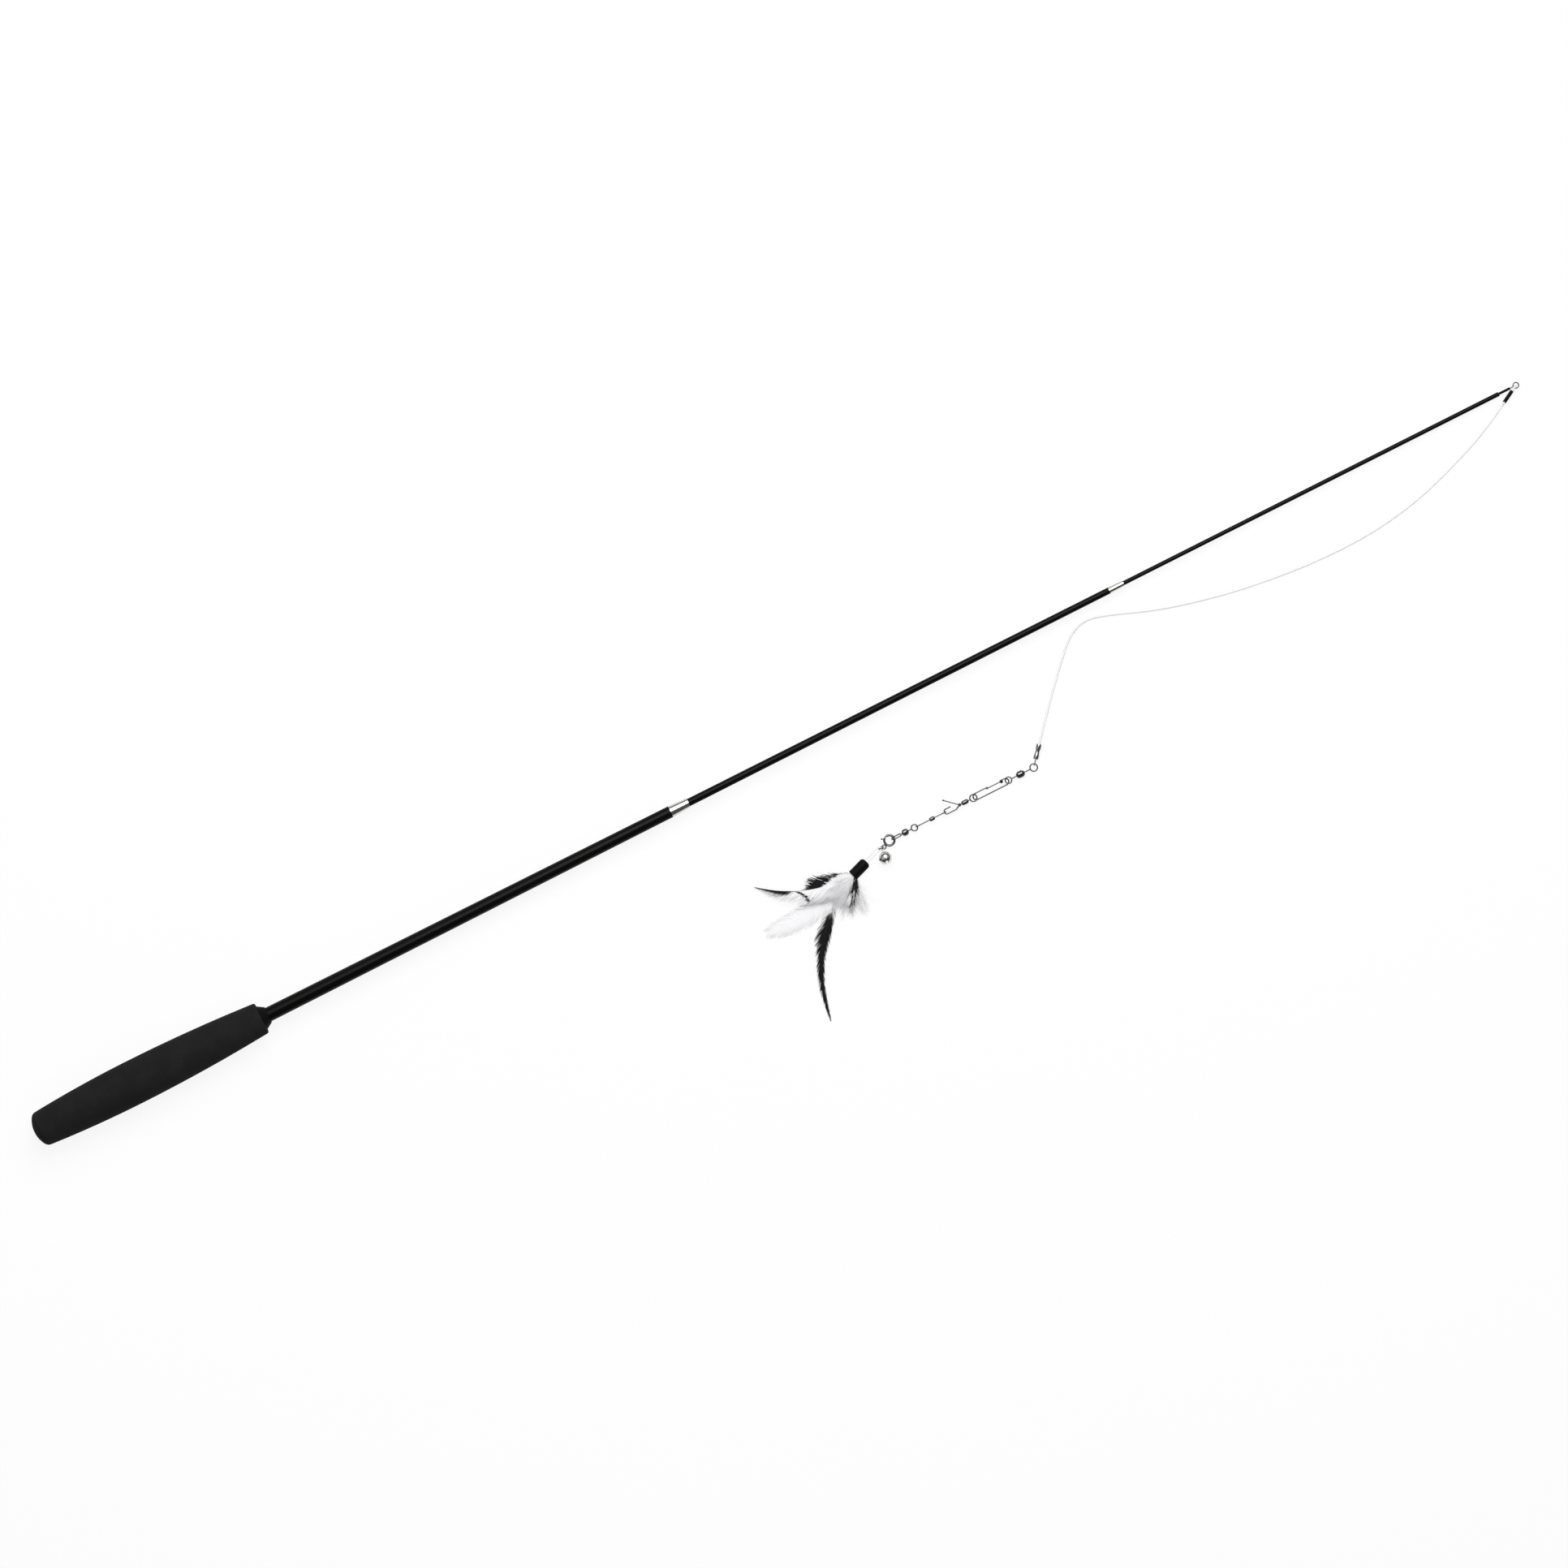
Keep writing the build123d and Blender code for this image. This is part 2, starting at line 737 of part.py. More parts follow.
# Lower swivel and the snap that grows out of it
lower_eye_station = upper_eye_b_station + upper_snap_length
lower_barrel_start = lower_eye_station + lower_eye_radius + wire / 2 + lower_barrel_gap
lower_barrel_end = lower_barrel_start + lower_barrel_length
lower_head = head_radius(lower_barrel_radius, lower_wall)
lower_swivel_eye = swivel_eye(
    chain_plane(lower_eye_station),
    lower_eye_radius,
    wire,
    lower_barrel_start - lower_eye_station + head_reach(lower_wall),
    lower_head,
)
save(lower_swivel_eye, "lower_swivel_eye")
lower_swivel_barrel = barrel(lower_barrel_start, lower_barrel_length, lower_barrel_radius, lower_wall, wire)
save(lower_swivel_barrel, "lower_swivel_barrel")

lower_snap_plane = chain_plane(lower_barrel_end)
lower_snap_bend = lower_snap_neck + lower_snap_length - lower_snap_half_width
with BuildLine(lower_snap_plane) as lower_snap_path:
    FilletPolyline(
        (0, 0),
        (lower_snap_neck, 0),
        (lower_snap_neck + lower_snap_spread, lower_snap_half_width),
        (lower_snap_bend, lower_snap_half_width),
        radius=2 * wire,
    )
    ThreePointArc(
        (lower_snap_bend, lower_snap_half_width),
        (lower_snap_bend + lower_snap_half_width, 0),
        (lower_snap_bend, -lower_snap_half_width),
    )
    Line((lower_snap_bend, -lower_snap_half_width), (lower_snap_bend - lower_snap_hook, -lower_snap_half_width))
with BuildPart() as lower_snap_wire:
    with BuildSketch(Plane(origin=lower_snap_path.wire() @ 0, z_dir=lower_snap_path.wire() % 0)):
        Circle(wire / 2)
    sweep(path=lower_snap_path.wire())
    add_stem(turned_round(lower_snap_plane), 0, head_reach(lower_wall), wire, lower_head)
    add_rivet(lower_snap_plane, lower_snap_neck, 0)
save(lower_snap_wire, "lower_snap_wire")
lower_snap_arm = snap_arm(lower_snap_plane, lower_snap_neck, 0, lower_snap_arm_length, -lower_snap_arm_open)
save(lower_snap_arm, "lower_snap_arm")

# Link swivel: both eyes stand on edge
link_reach = (wire + thin_wire) / 2 + link_clearance
lower_bend_station = lower_barrel_end + lower_snap_bend
link_eye_a_station = lower_bend_station + lower_snap_half_width - link_reach + link_eye_radius
link_barrel_start = link_eye_a_station + link_eye_radius + link_neck_a
link_barrel_end = link_barrel_start + link_barrel_length
link_eye_b_station = link_barrel_end + link_neck_b + link_eye_radius
link_head = head_radius(link_barrel_radius, link_wall)
link_swivel_eye_a = swivel_eye(
    chain_plane(link_eye_a_station, 90),
    link_eye_radius,
    thin_wire,
    link_barrel_start - link_eye_a_station + head_reach(link_wall),
    link_head,
)
save(link_swivel_eye_a, "link_swivel_eye_a")
link_swivel_barrel = barrel(link_barrel_start, link_barrel_length, link_barrel_radius, link_wall, thin_wire)
save(link_swivel_barrel, "link_swivel_barrel")
link_swivel_eye_b = swivel_eye(
    turned_round(chain_plane(link_eye_b_station, 90)),
    link_eye_radius,
    thin_wire,
    link_eye_b_station - link_barrel_end + head_reach(link_wall),
    link_head,
)
save(link_swivel_eye_b, "link_swivel_eye_b")

# Lure swivel: a flat eye, a fat barrel and an oval loop
lure_eye_station = link_eye_b_station + link_eye_radius - link_reach + lure_eye_radius
lure_barrel_start = lure_eye_station + lure_eye_radius + lure_barrel_gap
lure_barrel_end = lure_barrel_start + lure_barrel_length
lure_head = head_radius(lure_barrel_radius, lure_wall)
lure_swivel_eye = swivel_eye(
    chain_plane(lure_eye_station),
    lure_eye_radius,
    wire,
    lure_barrel_start - lure_eye_station + head_reach(lure_wall),
    lure_head,
)
save(lure_swivel_eye, "lure_swivel_eye")
lure_swivel_barrel = barrel(lure_barrel_start, lure_barrel_length, lure_barrel_radius, lure_wall, wire)
save(lure_swivel_barrel, "lure_swivel_barrel")

lure_link_plane = chain_plane(lure_barrel_end + lure_loop_neck, lure_link_roll)
link_bend = lure_link_half_width
link_far = lure_link_length - lure_link_half_width
with BuildLine(lure_link_plane) as lure_link_path:
    ThreePointArc((link_bend, link_bend), (0, 0), (link_bend, -link_bend))
    Line((link_bend, -link_bend), (link_far, -link_bend))
    ThreePointArc((link_far, -link_bend), (lure_link_length, 0), (link_far, link_bend))
    Line((link_far, link_bend), (link_bend, link_bend))
with BuildPart() as lure_swivel_loop:
    with BuildSketch(Plane(origin=lure_link_path.wire() @ 0, z_dir=lure_link_path.wire() % 0)):
        Circle(wire / 2)
    sweep(path=lure_link_path.wire())
    add_stem(turned_round(lure_link_plane), 0, lure_loop_neck + head_reach(lure_wall), wire, lure_head)
save(lure_swivel_loop, "lure_swivel_loop")

# Spring ring clasp: a hollow tube ring with a gap, closed by the trigger inside it
clasp_reach = (wire + clasp_tube) / 2 + link_clearance
clasp_station = lure_barrel_end + lure_loop_neck + lure_link_length - clasp_reach + clasp_radius
clasp_centre = chain_plane(clasp_station).origin
clasp_axis = Axis(clasp_centre, (0, 0, 1))


def clasp_section(degrees):
    """The upright plane through the clasp's axis at an angle round it."""
    out = heading(degrees)
    return Plane(origin=clasp_centre, x_dir=out, z_dir=(out.Y, -out.X, 0))


clasp_eye_distance = clasp_radius + clasp_tube / 2 + clasp_eye_radius + thin_wire / 2 - clasp_eye_sink
clasp_eye_centre = clasp_centre + heading(clasp_eye_angle) * clasp_eye_distance
slot_start = clasp_nub_angle - clasp_slot_margin
slot_sweep = clasp_trigger_travel + 2 * clasp_slot_margin
with BuildPart() as clasp_ring:
    with BuildSketch(clasp_section(clasp_gap_end)):
        with Locations((clasp_radius, 0)):
            Circle(clasp_tube / 2)
    revolve(axis=clasp_axis, revolution_arc=360 - clasp_gap_end + clasp_gap_start)
    with Locations(Location(clasp_eye_centre)):
        Torus(clasp_eye_radius, thin_wire / 2)
    with BuildSketch(clasp_section(clasp_gap_end)):
        with Locations((clasp_radius, 0)):
            Circle(clasp_bore / 2)
    revolve(axis=clasp_axis, revolution_arc=360 - clasp_gap_end + clasp_gap_start, mode=Mode.SUBTRACT)
    with BuildSketch(clasp_section(slot_start)):
        with Locations((clasp_radius + clasp_tube / 2, 0)):
            Rectangle(clasp_tube, clasp_slot_width)
    revolve(axis=clasp_axis, revolution_arc=slot_sweep, mode=Mode.SUBTRACT)
save(clasp_ring, "clasp_ring")

with BuildPart() as clasp_trigger:
    with BuildSketch(clasp_section(clasp_nose)):
        with Locations((clasp_radius, 0)):
            Circle(clasp_trigger_wire / 2)
    revolve(axis=clasp_axis, revolution_arc=clasp_trigger_tail - clasp_nose)
    with BuildSketch(across(clasp_section(clasp_nub_angle), clasp_radius)):
        Circle(clasp_nub_neck / 2)
    extrude(amount=clasp_nub_reach - clasp_radius)
    with Locations(Location(clasp_centre + heading(clasp_nub_angle) * clasp_nub_reach)):
        Sphere(clasp_nub_radius)
save(clasp_trigger, "clasp_trigger")

# Jump ring: stands on edge through the clasp's eye
jump_dir = heading(jump_heading)
jump_centre = clasp_eye_centre + jump_dir * jump_radius
with BuildPart(Plane(origin=jump_centre, x_dir=jump_dir, z_dir=(jump_dir.Y, -jump_dir.X, 0))) as jump_ring:
    Torus(jump_radius, thin_wire / 2)
save(jump_ring, "jump_ring")

# Bell: hangs on the top of the jump ring, lying out to one side on the table
bell_hinge = jump_centre + Vector(0, 0, jump_radius)
bell_rise = table_z + bell_table_gap + bell_radius + bell_rim - bell_hinge.Z
bell_side = Vector(-jump_dir.Y, jump_dir.X, 0)
bell_centre = bell_hinge + bell_side * math.sqrt(bell_reach**2 - bell_rise**2) + Vector(0, 0, bell_rise)
bell_out = (bell_centre - bell_hinge).normalized()
bell_plane = Plane(origin=bell_centre, x_dir=bell_out, z_dir=jump_dir)
bell_axis = Axis(bell_centre, bell_out)
bell_inner = bell_radius - bell_wall


def bell_half(side):
    """Half shell of the bell with its rim, on one side of the rim's plane."""
    with BuildSketch(bell_plane) as half_section:
        with BuildLine():
            Polyline(
                (0, bell_inner),
                (0, bell_radius + bell_rim),
                (side * bell_rim_height, bell_radius + bell_rim),
                (side * bell_rim_height, math.sqrt(bell_radius**2 - bell_rim_height**2)),
            )
            bulge = math.sqrt(0.5)
            ThreePointArc(
                (side * bell_rim_height, math.sqrt(bell_radius**2 - bell_rim_height**2)),
                (side * bell_radius * bulge, bell_radius * bulge),
                (side * bell_radius, 0),
            )
            Line((side * bell_radius, 0), (side * bell_inner, 0))
            ThreePointArc(
                (side * bell_inner, 0),
                (side * bell_inner * bulge, bell_inner * bulge),
                (0, bell_inner),
            )
        make_face()
    revolve(half_section.sketch, axis=bell_axis)


with BuildPart() as bell_back:
    bell_half(-1)
    with BuildSketch(across(bell_plane, bell_shank_radius - bell_reach)):
        Circle(bell_shank_wire / 2)
    extrude(amount=bell_reach - bell_shank_radius - bell_radius + bell_wall)
    with Locations(Plane(origin=bell_hinge, x_dir=bell_out, z_dir=jump_dir).location):
        Torus(bell_shank_radius, bell_shank_wire / 2)
save(bell_back, "bell_back")

with BuildPart() as bell_front:
    bell_half(1)
    with BuildSketch(across(bell_plane, 0)):
        Rectangle(2 * bell_slot_reach, bell_slot)
        Rectangle(bell_slot, 2 * bell_slot_reach)
        with PolarLocations(bell_slot_reach, 4):
            Circle(bell_hole / 2)
    extrude(amount=bell_radius, mode=Mode.SUBTRACT)
save(bell_front, "bell_front")

with BuildPart() as bell_ball:
    with Locations(Location(bell_centre - Vector(0, 0, bell_ball_drop))):
        Sphere(bell_ball_radius)
save(bell_ball, "bell_ball")

# Lure cap: a domed cup that lies on the table, its mouth full of quills
lure_dir = heading(lure_heading)
thread_pivot = jump_centre + jump_dir * jump_radius
cap_crown = Vector(thread_pivot.X, thread_pivot.Y, table_z + cap_radius) + lure_dir * cap_from_jump
cap_plane = Plane(origin=cap_crown, x_dir=lure_dir, z_dir=(lure_dir.Y, -lure_dir.X, 0))
thread_hole = thread_loop_radius + thread / 2 + cap_thread_gap
cap_bore = cap_radius - cap_wall
with BuildPart() as lure_cap:
    with BuildSketch(across(cap_plane, 0)):
        Circle(cap_radius)
    extrude(amount=cap_length)
    crown_edge = lure_cap.faces().sort_by(Axis(cap_crown, lure_dir))[0].edges()
    fillet(crown_edge, cap_dome)
    with BuildSketch(across(cap_plane, cap_top)):
        Circle(cap_bore)
    extrude(amount=cap_length - cap_top, mode=Mode.SUBTRACT)
    with BuildSketch(across(cap_plane, 0)):
        Circle(thread_hole)
    extrude(amount=cap_top, mode=Mode.SUBTRACT)
save(lure_cap, "lure_cap")

# Thread loop: clear line round the jump ring, knotted inside the cap
thread_run = (cap_crown - thread_pivot).normalized()
thread_side = Vector(-lure_dir.Y, lure_dir.X, 0)
thread_plane = Plane(origin=thread_pivot, x_dir=thread_run, z_dir=thread_run.cross(thread_side))
thread_length = (cap_crown - thread_pivot).length + cap_top + thread_knot_length / 2
with BuildLine(thread_plane) as thread_path:
    Line((thread_length, thread_loop_radius), (0, thread_loop_radius))
    ThreePointArc((0, thread_loop_radius), (-thread_loop_radius, 0), (0, -thread_loop_radius))
    Line((0, -thread_loop_radius), (thread_length, -thread_loop_radius))
with BuildPart() as lure_loop:
    with BuildSketch(Plane(origin=thread_path.wire() @ 0, z_dir=thread_path.wire() % 0)):
        Circle(thread / 2)
    sweep(path=thread_path.wire())
    with BuildSketch(across(cap_plane, cap_top)):
        Circle(thread_knot_radius)
    extrude(amount=thread_knot_length)
save(lure_loop, "lure_loop")

# Feathers: the name and sizes of each
feather_table = [
    ("feather_left", left_heading, left_reach, left_bow, left_half_width,
     left_vane_start, left_lift, left_tip_height),
    ("feather_pale", pale_heading, pale_reach, pale_bow, pale_half_width,
     pale_vane_start, pale_lift, pale_tip_height),
    ("feather_tail", tail_heading, tail_reach, tail_bow, tail_half_width,
     tail_vane_start, tail_lift, tail_tip_height),
    ("feather_side", side_heading, side_reach, side_bow, side_half_width,
     side_vane_start, side_lift, side_tip_height),
]
cap_mouth = cap_plane.from_local_coords((cap_length, 0, 0))


def feather(degrees, reach, bow, half_width, vane_start, lift, tip_height, grow=0.0):
    """A feather's leaf shaped vane on its bowed quill, sloping from the cap's mouth down to the table."""
    out = heading(degrees)
    base = cap_mouth + Vector(0, 0, lift)
    tip = Vector(base.X, base.Y, table_z + tip_height) + out * reach
    run = (tip - base).normalized()
    side = Vector(-out.Y, out.X, 0)
    leaf = Plane(origin=base, x_dir=run, z_dir=run.cross(side))
    length = (tip - base).length
    curve = (bow**2 + length**2 / 4) / (2 * bow)

    def spine(x):
        return bow - curve + math.copysign(math.sqrt(curve**2 - (length / 2 - x) ** 2), curve)

    half = half_width + grow
    vane_root = (vane_start - grow, spine(vane_start))
    quill_end = vane_start + quill_into_vane
    with BuildPart() as made:
        with BuildSketch(leaf.offset(-vane_thickness / 2 - grow)):
            with BuildLine():
                ThreePointArc(vane_root, (length / 2, bow + half), (length + grow, 0))
                ThreePointArc((length + grow, 0), (length / 2, bow - half), vane_root)
            make_face()
        extrude(amount=vane_thickness + 2 * grow)
        with BuildLine(leaf) as quill_line:
            ThreePointArc((0, 0), (vane_start, spine(vane_start)), (quill_end, spine(quill_end)))
        with BuildSketch(Plane(origin=quill_line.line @ 0, z_dir=quill_line.line % 0)):
            Circle(quill_radius + grow)
        sweep(path=quill_line.line)
        with BuildSketch(Plane(origin=quill_line.line @ 0, z_dir=quill_line.line % 0)):
            Circle(quill_radius + grow)
        extrude(amount=-quill_depth)
    return made


for label, *shape in feather_table:
    save(feather(*shape), label)

# Fluff: a low downy mound round the feathers, resting on the table
fluff_dir = heading(fluff_heading)
fluff_sections = [
    (0, fluff_root_half_width, fluff_root_half_height),
    (fluff_neck_station, fluff_neck_half_width, fluff_neck_half_height),
    (fluff_crown_station, fluff_crown_half_width, fluff_crown_half_height),
    (fluff_end_station, fluff_end_half_width, fluff_end_half_height),
]
with BuildPart() as fluff:
    for distance, half_width, half_height in fluff_sections:
        at = cap_mouth + fluff_dir * (fluff_start + distance)
        centre = Vector(at.X, at.Y, table_z + half_height + fluff_clear)
        with BuildSketch(Plane(origin=centre, x_dir=(-fluff_dir.Y, fluff_dir.X, 0), z_dir=fluff_dir)):
            Ellipse(half_width, half_height)
    loft()
    for label, *shape in feather_table:
        add(feather(*shape, grow=fluff_clear).part, mode=Mode.SUBTRACT)
save(fluff, "fluff")

print("table", round(table_z, 3), "tilt", round(math.degrees(tilt), 4))
print("chain stations", [round(v, 3) for v in (lower_eye_station, lower_bend_station, lure_eye_station, clasp_station)])
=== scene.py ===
import math
import random
import bpy
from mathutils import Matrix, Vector


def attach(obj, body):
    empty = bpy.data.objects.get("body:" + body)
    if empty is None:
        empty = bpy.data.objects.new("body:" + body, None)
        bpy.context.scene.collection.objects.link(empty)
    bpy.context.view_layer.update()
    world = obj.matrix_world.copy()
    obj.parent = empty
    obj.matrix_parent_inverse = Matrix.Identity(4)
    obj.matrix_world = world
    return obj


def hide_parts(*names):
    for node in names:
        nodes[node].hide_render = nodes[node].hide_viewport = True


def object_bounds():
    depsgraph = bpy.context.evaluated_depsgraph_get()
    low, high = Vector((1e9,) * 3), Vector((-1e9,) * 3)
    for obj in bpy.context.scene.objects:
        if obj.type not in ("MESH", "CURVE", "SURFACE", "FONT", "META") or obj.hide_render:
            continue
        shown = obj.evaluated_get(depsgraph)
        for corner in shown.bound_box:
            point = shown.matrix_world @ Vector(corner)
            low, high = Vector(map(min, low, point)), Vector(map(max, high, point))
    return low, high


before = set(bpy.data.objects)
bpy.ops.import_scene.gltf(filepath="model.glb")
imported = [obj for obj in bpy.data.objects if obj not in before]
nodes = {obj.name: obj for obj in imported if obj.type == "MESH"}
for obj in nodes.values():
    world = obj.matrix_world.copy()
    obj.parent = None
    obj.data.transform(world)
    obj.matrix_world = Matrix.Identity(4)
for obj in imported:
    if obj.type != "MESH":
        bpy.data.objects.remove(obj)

cadLow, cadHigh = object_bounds()
tableZ = cadLow.z
mm = 0.001
scene = bpy.context.scene
scene.view_settings.view_transform = "Standard"
print("frame loaded:", len(nodes), "nodes, table at", round(tableZ, 5))


class Wire:  # one socket of a node tree: maths on it adds nodes
    def __init__(self, tree, socket=None):
        self.tree = tree
        self.socket = socket

    def node(self, kind, settings=None, inputs=None, output=0):
        made = self.tree.nodes.new(kind)
        for name, value in (settings or {}).items():
            setattr(made, name, value)
        for name, value in (inputs or {}).items():
            if isinstance(value, Wire):
                self.tree.links.new(value.socket, made.inputs[name])
            else:
                made.inputs[name].default_value = value
        return Wire(self.tree, made.outputs[output] if made.outputs else None)

    def out(self, name):  # another output of the same node
        return Wire(self.tree, self.socket.node.outputs[name])

    def maths(self, operation, left, right=0.0):
        return self.node("ShaderNodeMath", {"operation": operation}, {0: left, 1: right})

    def vector(self, operation, left, right=(0.0, 0.0, 0.0)):
        return self.node("ShaderNodeVectorMath", {"operation": operation}, {0: left, 1: right})

    def scaled(self, factor):
        return self.node("ShaderNodeVectorMath", {"operation": "SCALE"}, {0: self, "Scale": factor})

    def over(self, low, high):  # 0 at low, 1 at high, smooth between
        settings = {"interpolation_type": "SMOOTHSTEP"}
        return self.node("ShaderNodeMapRange", settings, {"Value": self, "From Min": low, "From Max": high})

    def blend(self, first, second):  # colours mixed by this value
        return self.node("ShaderNodeMix", {"data_type": "RGBA"}, {0: self, 6: first, 7: second}, 2)

    def bump(self, strength, depth):
        return self.node("ShaderNodeBump", None, {"Strength": strength, "Distance": depth, "Height": self})

    def __add__(self, other):
        return self.maths("ADD", self, other)

    def __radd__(self, other):
        return self.maths("ADD", other, self)

    def __sub__(self, other):
        return self.maths("SUBTRACT", self, other)

    def __rsub__(self, other):
        return self.maths("SUBTRACT", other, self)

    def __mul__(self, other):
        return self.maths("MULTIPLY", self, other)

    def __rmul__(self, other):
        return self.maths("MULTIPLY", other, self)

    def __truediv__(self, other):
        return self.maths("DIVIDE", self, other)

    def __pow__(self, other):
        return self.maths("POWER", self, other)


def newMaterial(name):
    material = bpy.data.materials.new(name)
    material.use_nodes = True
    material.node_tree.nodes.clear()
    return material, Wire(material.node_tree)


def closeMaterial(wire, sockets):
    shader = wire.node("ShaderNodeBsdfPrincipled", None, sockets)
    wire.node("ShaderNodeOutputMaterial", None, {"Surface": shader})


def grey(level, tint=(1.0, 1.0, 1.0)):
    return (level * tint[0], level * tint[1], level * tint[2], 1.0)


def noiseOn(wire, scale, detail=3.0, rough=0.55):
    place = wire.node("ShaderNodeTexCoord").out("Object")
    sockets = {"Vector": place, "Scale": scale, "Detail": detail, "Roughness": rough}
    return wire.node("ShaderNodeTexNoise", {"noise_dimensions": "3D"}, sockets)


def dress(material, names):
    for name in names:
        slots = nodes[name].data.materials
        slots.clear()
        slots.append(material)


foam = {
    "nodes": ["grip"],
    "base": 0.0122, "vein": 0.0152, "veinTint": (1.0, 1.0, 1.03), "veinRange": (0.35, 0.7),
    "mottle": 90.0, "mottleDetail": 4.0, "grain": 2600.0, "grainDetail": 2.0, "noiseRough": 0.6,
    "bump": 0.25, "depth": 0.00006, "rough": 0.78, "roughSpread": 0.14, "gloss": 0.08,
}


def makeFoam():
    material, wire = newMaterial("gripFoam")
    grain = noiseOn(wire, foam["grain"], foam["grainDetail"], foam["noiseRough"])
    mottle = noiseOn(wire, foam["mottle"], foam["mottleDetail"], foam["noiseRough"])
    vein = grey(foam["vein"], foam["veinTint"])
    closeMaterial(wire, {
        "Base Color": mottle.over(*foam["veinRange"]).blend(grey(foam["base"]), vein),
        "Roughness": foam["rough"] + grain * foam["roughSpread"],
        "Normal": grain.bump(foam["bump"], foam["depth"]),
        "Specular IOR Level": foam["gloss"]})
    return material


rod = {
    "nodes": ["butt_section", "middle_section", "tip_section"], "base": 0.0026, "tint": (1.05, 1.0, 0.92),
    "ripple": 700.0, "rippleDetail": 2.0, "bump": 0.15, "depth": 0.00001,
    "rough": 0.36, "roughSpread": 0.12, "gloss": 0.09,
}


def makeRod():
    material, wire = newMaterial("rodLacquer")
    ripple = noiseOn(wire, rod["ripple"], rod["rippleDetail"])
    closeMaterial(wire, {
        "Base Color": grey(rod["base"], rod["tint"]),
        "Roughness": rod["rough"] + (ripple - 0.5) * rod["roughSpread"],
        "Normal": ripple.bump(rod["bump"], rod["depth"]),
        "Specular IOR Level": rod["gloss"]})
    return material


chainNames = [name for name in nodes if any(word in name for word in ("swivel", "snap", "clasp"))]
wear = {"grain": 900.0, "range": (0.3, 0.75), "dull": 0.86, "roughSpread": 0.08}
metals = {
    "ferruleNickel": {
        "nodes": ["butt_ferrule", "middle_ferrule"],
        "tint": (0.69, 0.695, 0.645), "rough": 0.16},
    "chainNickel": {
        "nodes": ["tip_eye", "jump_ring", *chainNames],
        "tint": (0.14, 0.143, 0.147), "rough": 0.14},
    "crimpNickel": {
        "nodes": ["cord_crimp"],
        "tint": (0.4, 0.405, 0.41), "rough": 0.16},
    "bellNickel": {
        "nodes": ["bell_back", "bell_front", "bell_ball"],
        "tint": (0.7, 0.7, 0.69), "rough": 0.13},
}


def makeMetal(name, tint, rough):
    material, wire = newMaterial(name)
    rubbed = noiseOn(wire, wear["grain"])
    closeMaterial(wire, {
        "Base Color": rubbed.over(*wear["range"]).blend(grey(wear["dull"], tint), grey(1.0, tint)),
        "Metallic": 1.0,
        "Roughness": rough + rubbed * wear["roughSpread"]})
    return material


speckle = {"range": (0.3, 0.7), "spread": 0.1, "bump": 0.3, "rough": 0.5, "roughSpread": 0.1}
plastics = {
    "collarBlack": {
        "nodes": ["grip_collar"],
        "level": 0.003, "grain": 700.0, "depth": 0.00003, "gloss": 0.06},
    "bushGrey": {
        "nodes": ["butt_plug", "middle_bush", "tip_bush"],
        "level": 0.05, "grain": 500.0, "depth": 0.00002, "gloss": 0.3},
    "sleeveBlack": {
        "nodes": ["tip_shrink_sleeve", "loop_sleeve"],
        "level": 0.003, "grain": 900.0, "depth": 0.00003, "gloss": 0.08},
    "capBlack": {
        "nodes": ["lure_cap"],
        "level": 0.003, "grain": 1200.0, "depth": 0.00003, "gloss": 0.08},
}


def makePlastic(name, level, grain, depth, gloss):
    material, wire = newMaterial(name)
    specks = noiseOn(wire, grain)
    dark = grey(level * (1 - speckle["spread"]))
    pale = grey(level * (1 + speckle["spread"]))
    closeMaterial(wire, {
        "Base Color": specks.over(*speckle["range"]).blend(dark, pale),
        "Roughness": speckle["rough"] + specks * speckle["roughSpread"],
        "Normal": specks.bump(speckle["bump"], depth),
        "Specular IOR Level": gloss})
    return material


thread = {
    "nodes": ["lure_loop"], "level": 0.82, "tint": (0.97, 0.99, 1.0), "grain": 400.0,
    "rough": 0.12, "roughSpread": 0.05, "alpha": 0.55, "ior": 1.5,
}


def makeThread():
    material, wire = newMaterial("clearThread")
    specks = noiseOn(wire, thread["grain"])
    closeMaterial(wire, {
        "Base Color": grey(thread["level"], thread["tint"]),
        "Roughness": thread["rough"] + specks * thread["roughSpread"],
        "Alpha": thread["alpha"],
        "IOR": thread["ior"]})
    return material


dress(makeFoam(), foam["nodes"])
dress(makeRod(), rod["nodes"])
for name, about in metals.items():
    dress(makeMetal(name, about["tint"], about["rough"]), about["nodes"])
for name, about in plastics.items():
    dress(makePlastic(name, about["level"], about["grain"], about["depth"], about["gloss"]), about["nodes"])
dress(makeThread(), thread["nodes"])
print("CAD pieces dressed")


# the weave's shade darkens the braid's grooves in the colour itself, which is painted shade
weaveLook = {
    "level": 0.88, "tint": (1.0, 1.0, 0.985), "shade": 0.86, "shadeRange": (0.0, 0.9),
    "plaits": 560.0, "strands": 4.0, "bump": 0.5, "depth": 0.00012, "rough": 0.75, "sheen": 0.15,
}


